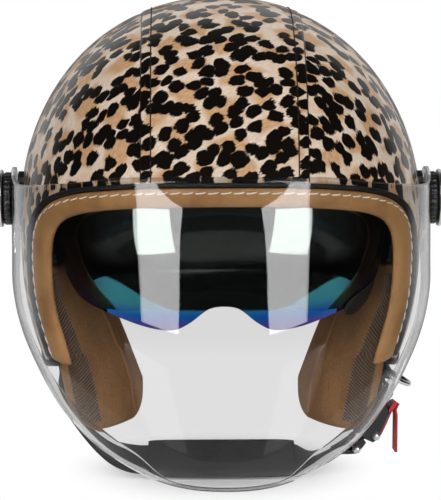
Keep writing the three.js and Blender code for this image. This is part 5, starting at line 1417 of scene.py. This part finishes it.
def add_camera():
    """The photograph's view: from the front, a little above and to one side."""
    data = bpy.data.cameras.new("camera")
    data.sensor_fit = "VERTICAL"
    data.sensor_height = SENSOR_HEIGHT
    data.lens = FOCAL_LENGTH
    camera = bpy.data.objects.new("camera", data)
    flat, rise = CAMERA_DISTANCE * math.cos(CAMERA_RISE), CAMERA_DISTANCE * math.sin(CAMERA_RISE)
    away = [-flat * math.sin(CAMERA_TURN), -flat * math.cos(CAMERA_TURN), rise]
    aim(camera, CAMERA_TARGET + away, CAMERA_TARGET)
    bpy.context.scene.collection.objects.link(camera)
    bpy.context.scene.camera = camera
    bpy.context.scene.view_settings.view_transform = "Standard"


# ---------- the helmet ----------
def dress_helmet():
    """Makes every material and hands it to the pieces that wear it."""
    rubber = moulded("satin_rubber", srgb(15, 15, 16), 0.55, 0.2)
    plastic = moulded("black_plastic", srgb(24, 24, 26), 0.3)
    shell = moulded("shell_plastic", srgb(30, 30, 32), 0.5, 0.3, 500)
    red = moulded("red_plastic", srgb(176, 22, 30), 0.35, 0.05)
    steel = metal("bright_steel", (0.72, 0.73, 0.75), 0.24)
    turned = metal("turned_steel", (0.8, 0.8, 0.81), 0.3, turned=True)
    thread = suede("pale_thread", srgb(246, 240, 230), srgb(224, 214, 200), 2500)
    dark_thread = suede("dark_thread", srgb(40, 33, 28), srgb(24, 20, 17), 2500)
    tan = leather("tan_leather", srgb(176, 130, 80), srgb(148, 104, 60))
    fabric = suede("tan_suede", srgb(146, 108, 70), srgb(112, 79, 50))
    ribbed = ribbed_suede("corded_fabric", srgb(100, 74, 49), srgb(64, 45, 31))
    piping = leather("tan_piping", srgb(140, 98, 60), srgb(108, 74, 44))
    web = woven("black_webbing", srgb(44, 44, 46), srgb(18, 18, 19), 0.9)
    sleeve = suede("sleeve_fabric", srgb(58, 58, 59), srgb(42, 42, 43), 900)
    woven_red = woven("red_ribbon", srgb(176, 24, 30), srgb(120, 10, 16), 0.8)
    foam = foam_beads("foam_beads")

    add_covers()
    add_cover_stitches(dark_thread)
    add_trims(rubber)
    add_roll(tan, thread)
    add_bands(fabric, piping)
    add_crown(fabric)
    add_cheek_pads(fabric, ribbed, piping)
    add_sun_visor(mirrored_lens(), rubber)
    add_clear_visor(clear_glass())
    add_pivots(plastic, turned)
    add_straps(web)
    add_chin_pad(sleeve)
    add_ring(steel)
    add_ribbon(woven_red)

    dress("outer_shell", shell, 0)
    for node in ("eps_liner", "eps_side_left", "eps_side_right"):
        dress(node, foam, 0)
    for side, _ in SIDES:
        for node, material, edge in (
                ("visor_base", plastic, 0.3), ("sun_visor_bracket", plastic, 0.3),
                ("visor_screw", steel, 0.2), ("visor_nut", steel, 0.2), ("strap_rivet", steel, 0.3)):
            dress(f"{node}_{side}", material, edge)
    for node, material, edge in (
            ("buckle_housing", plastic, 0.4), ("ratchet_tongue", plastic, 0.2), ("release_lever", red, 0.4),
            ("lever_pin", steel, 0.15), ("tongue_pin", steel, 0.15), ("d_ring_loop", web, 0.3)):
        dress(node, material, edge)


dress_helmet()
add_floor()
add_room()
add_lamps()
add_camera()
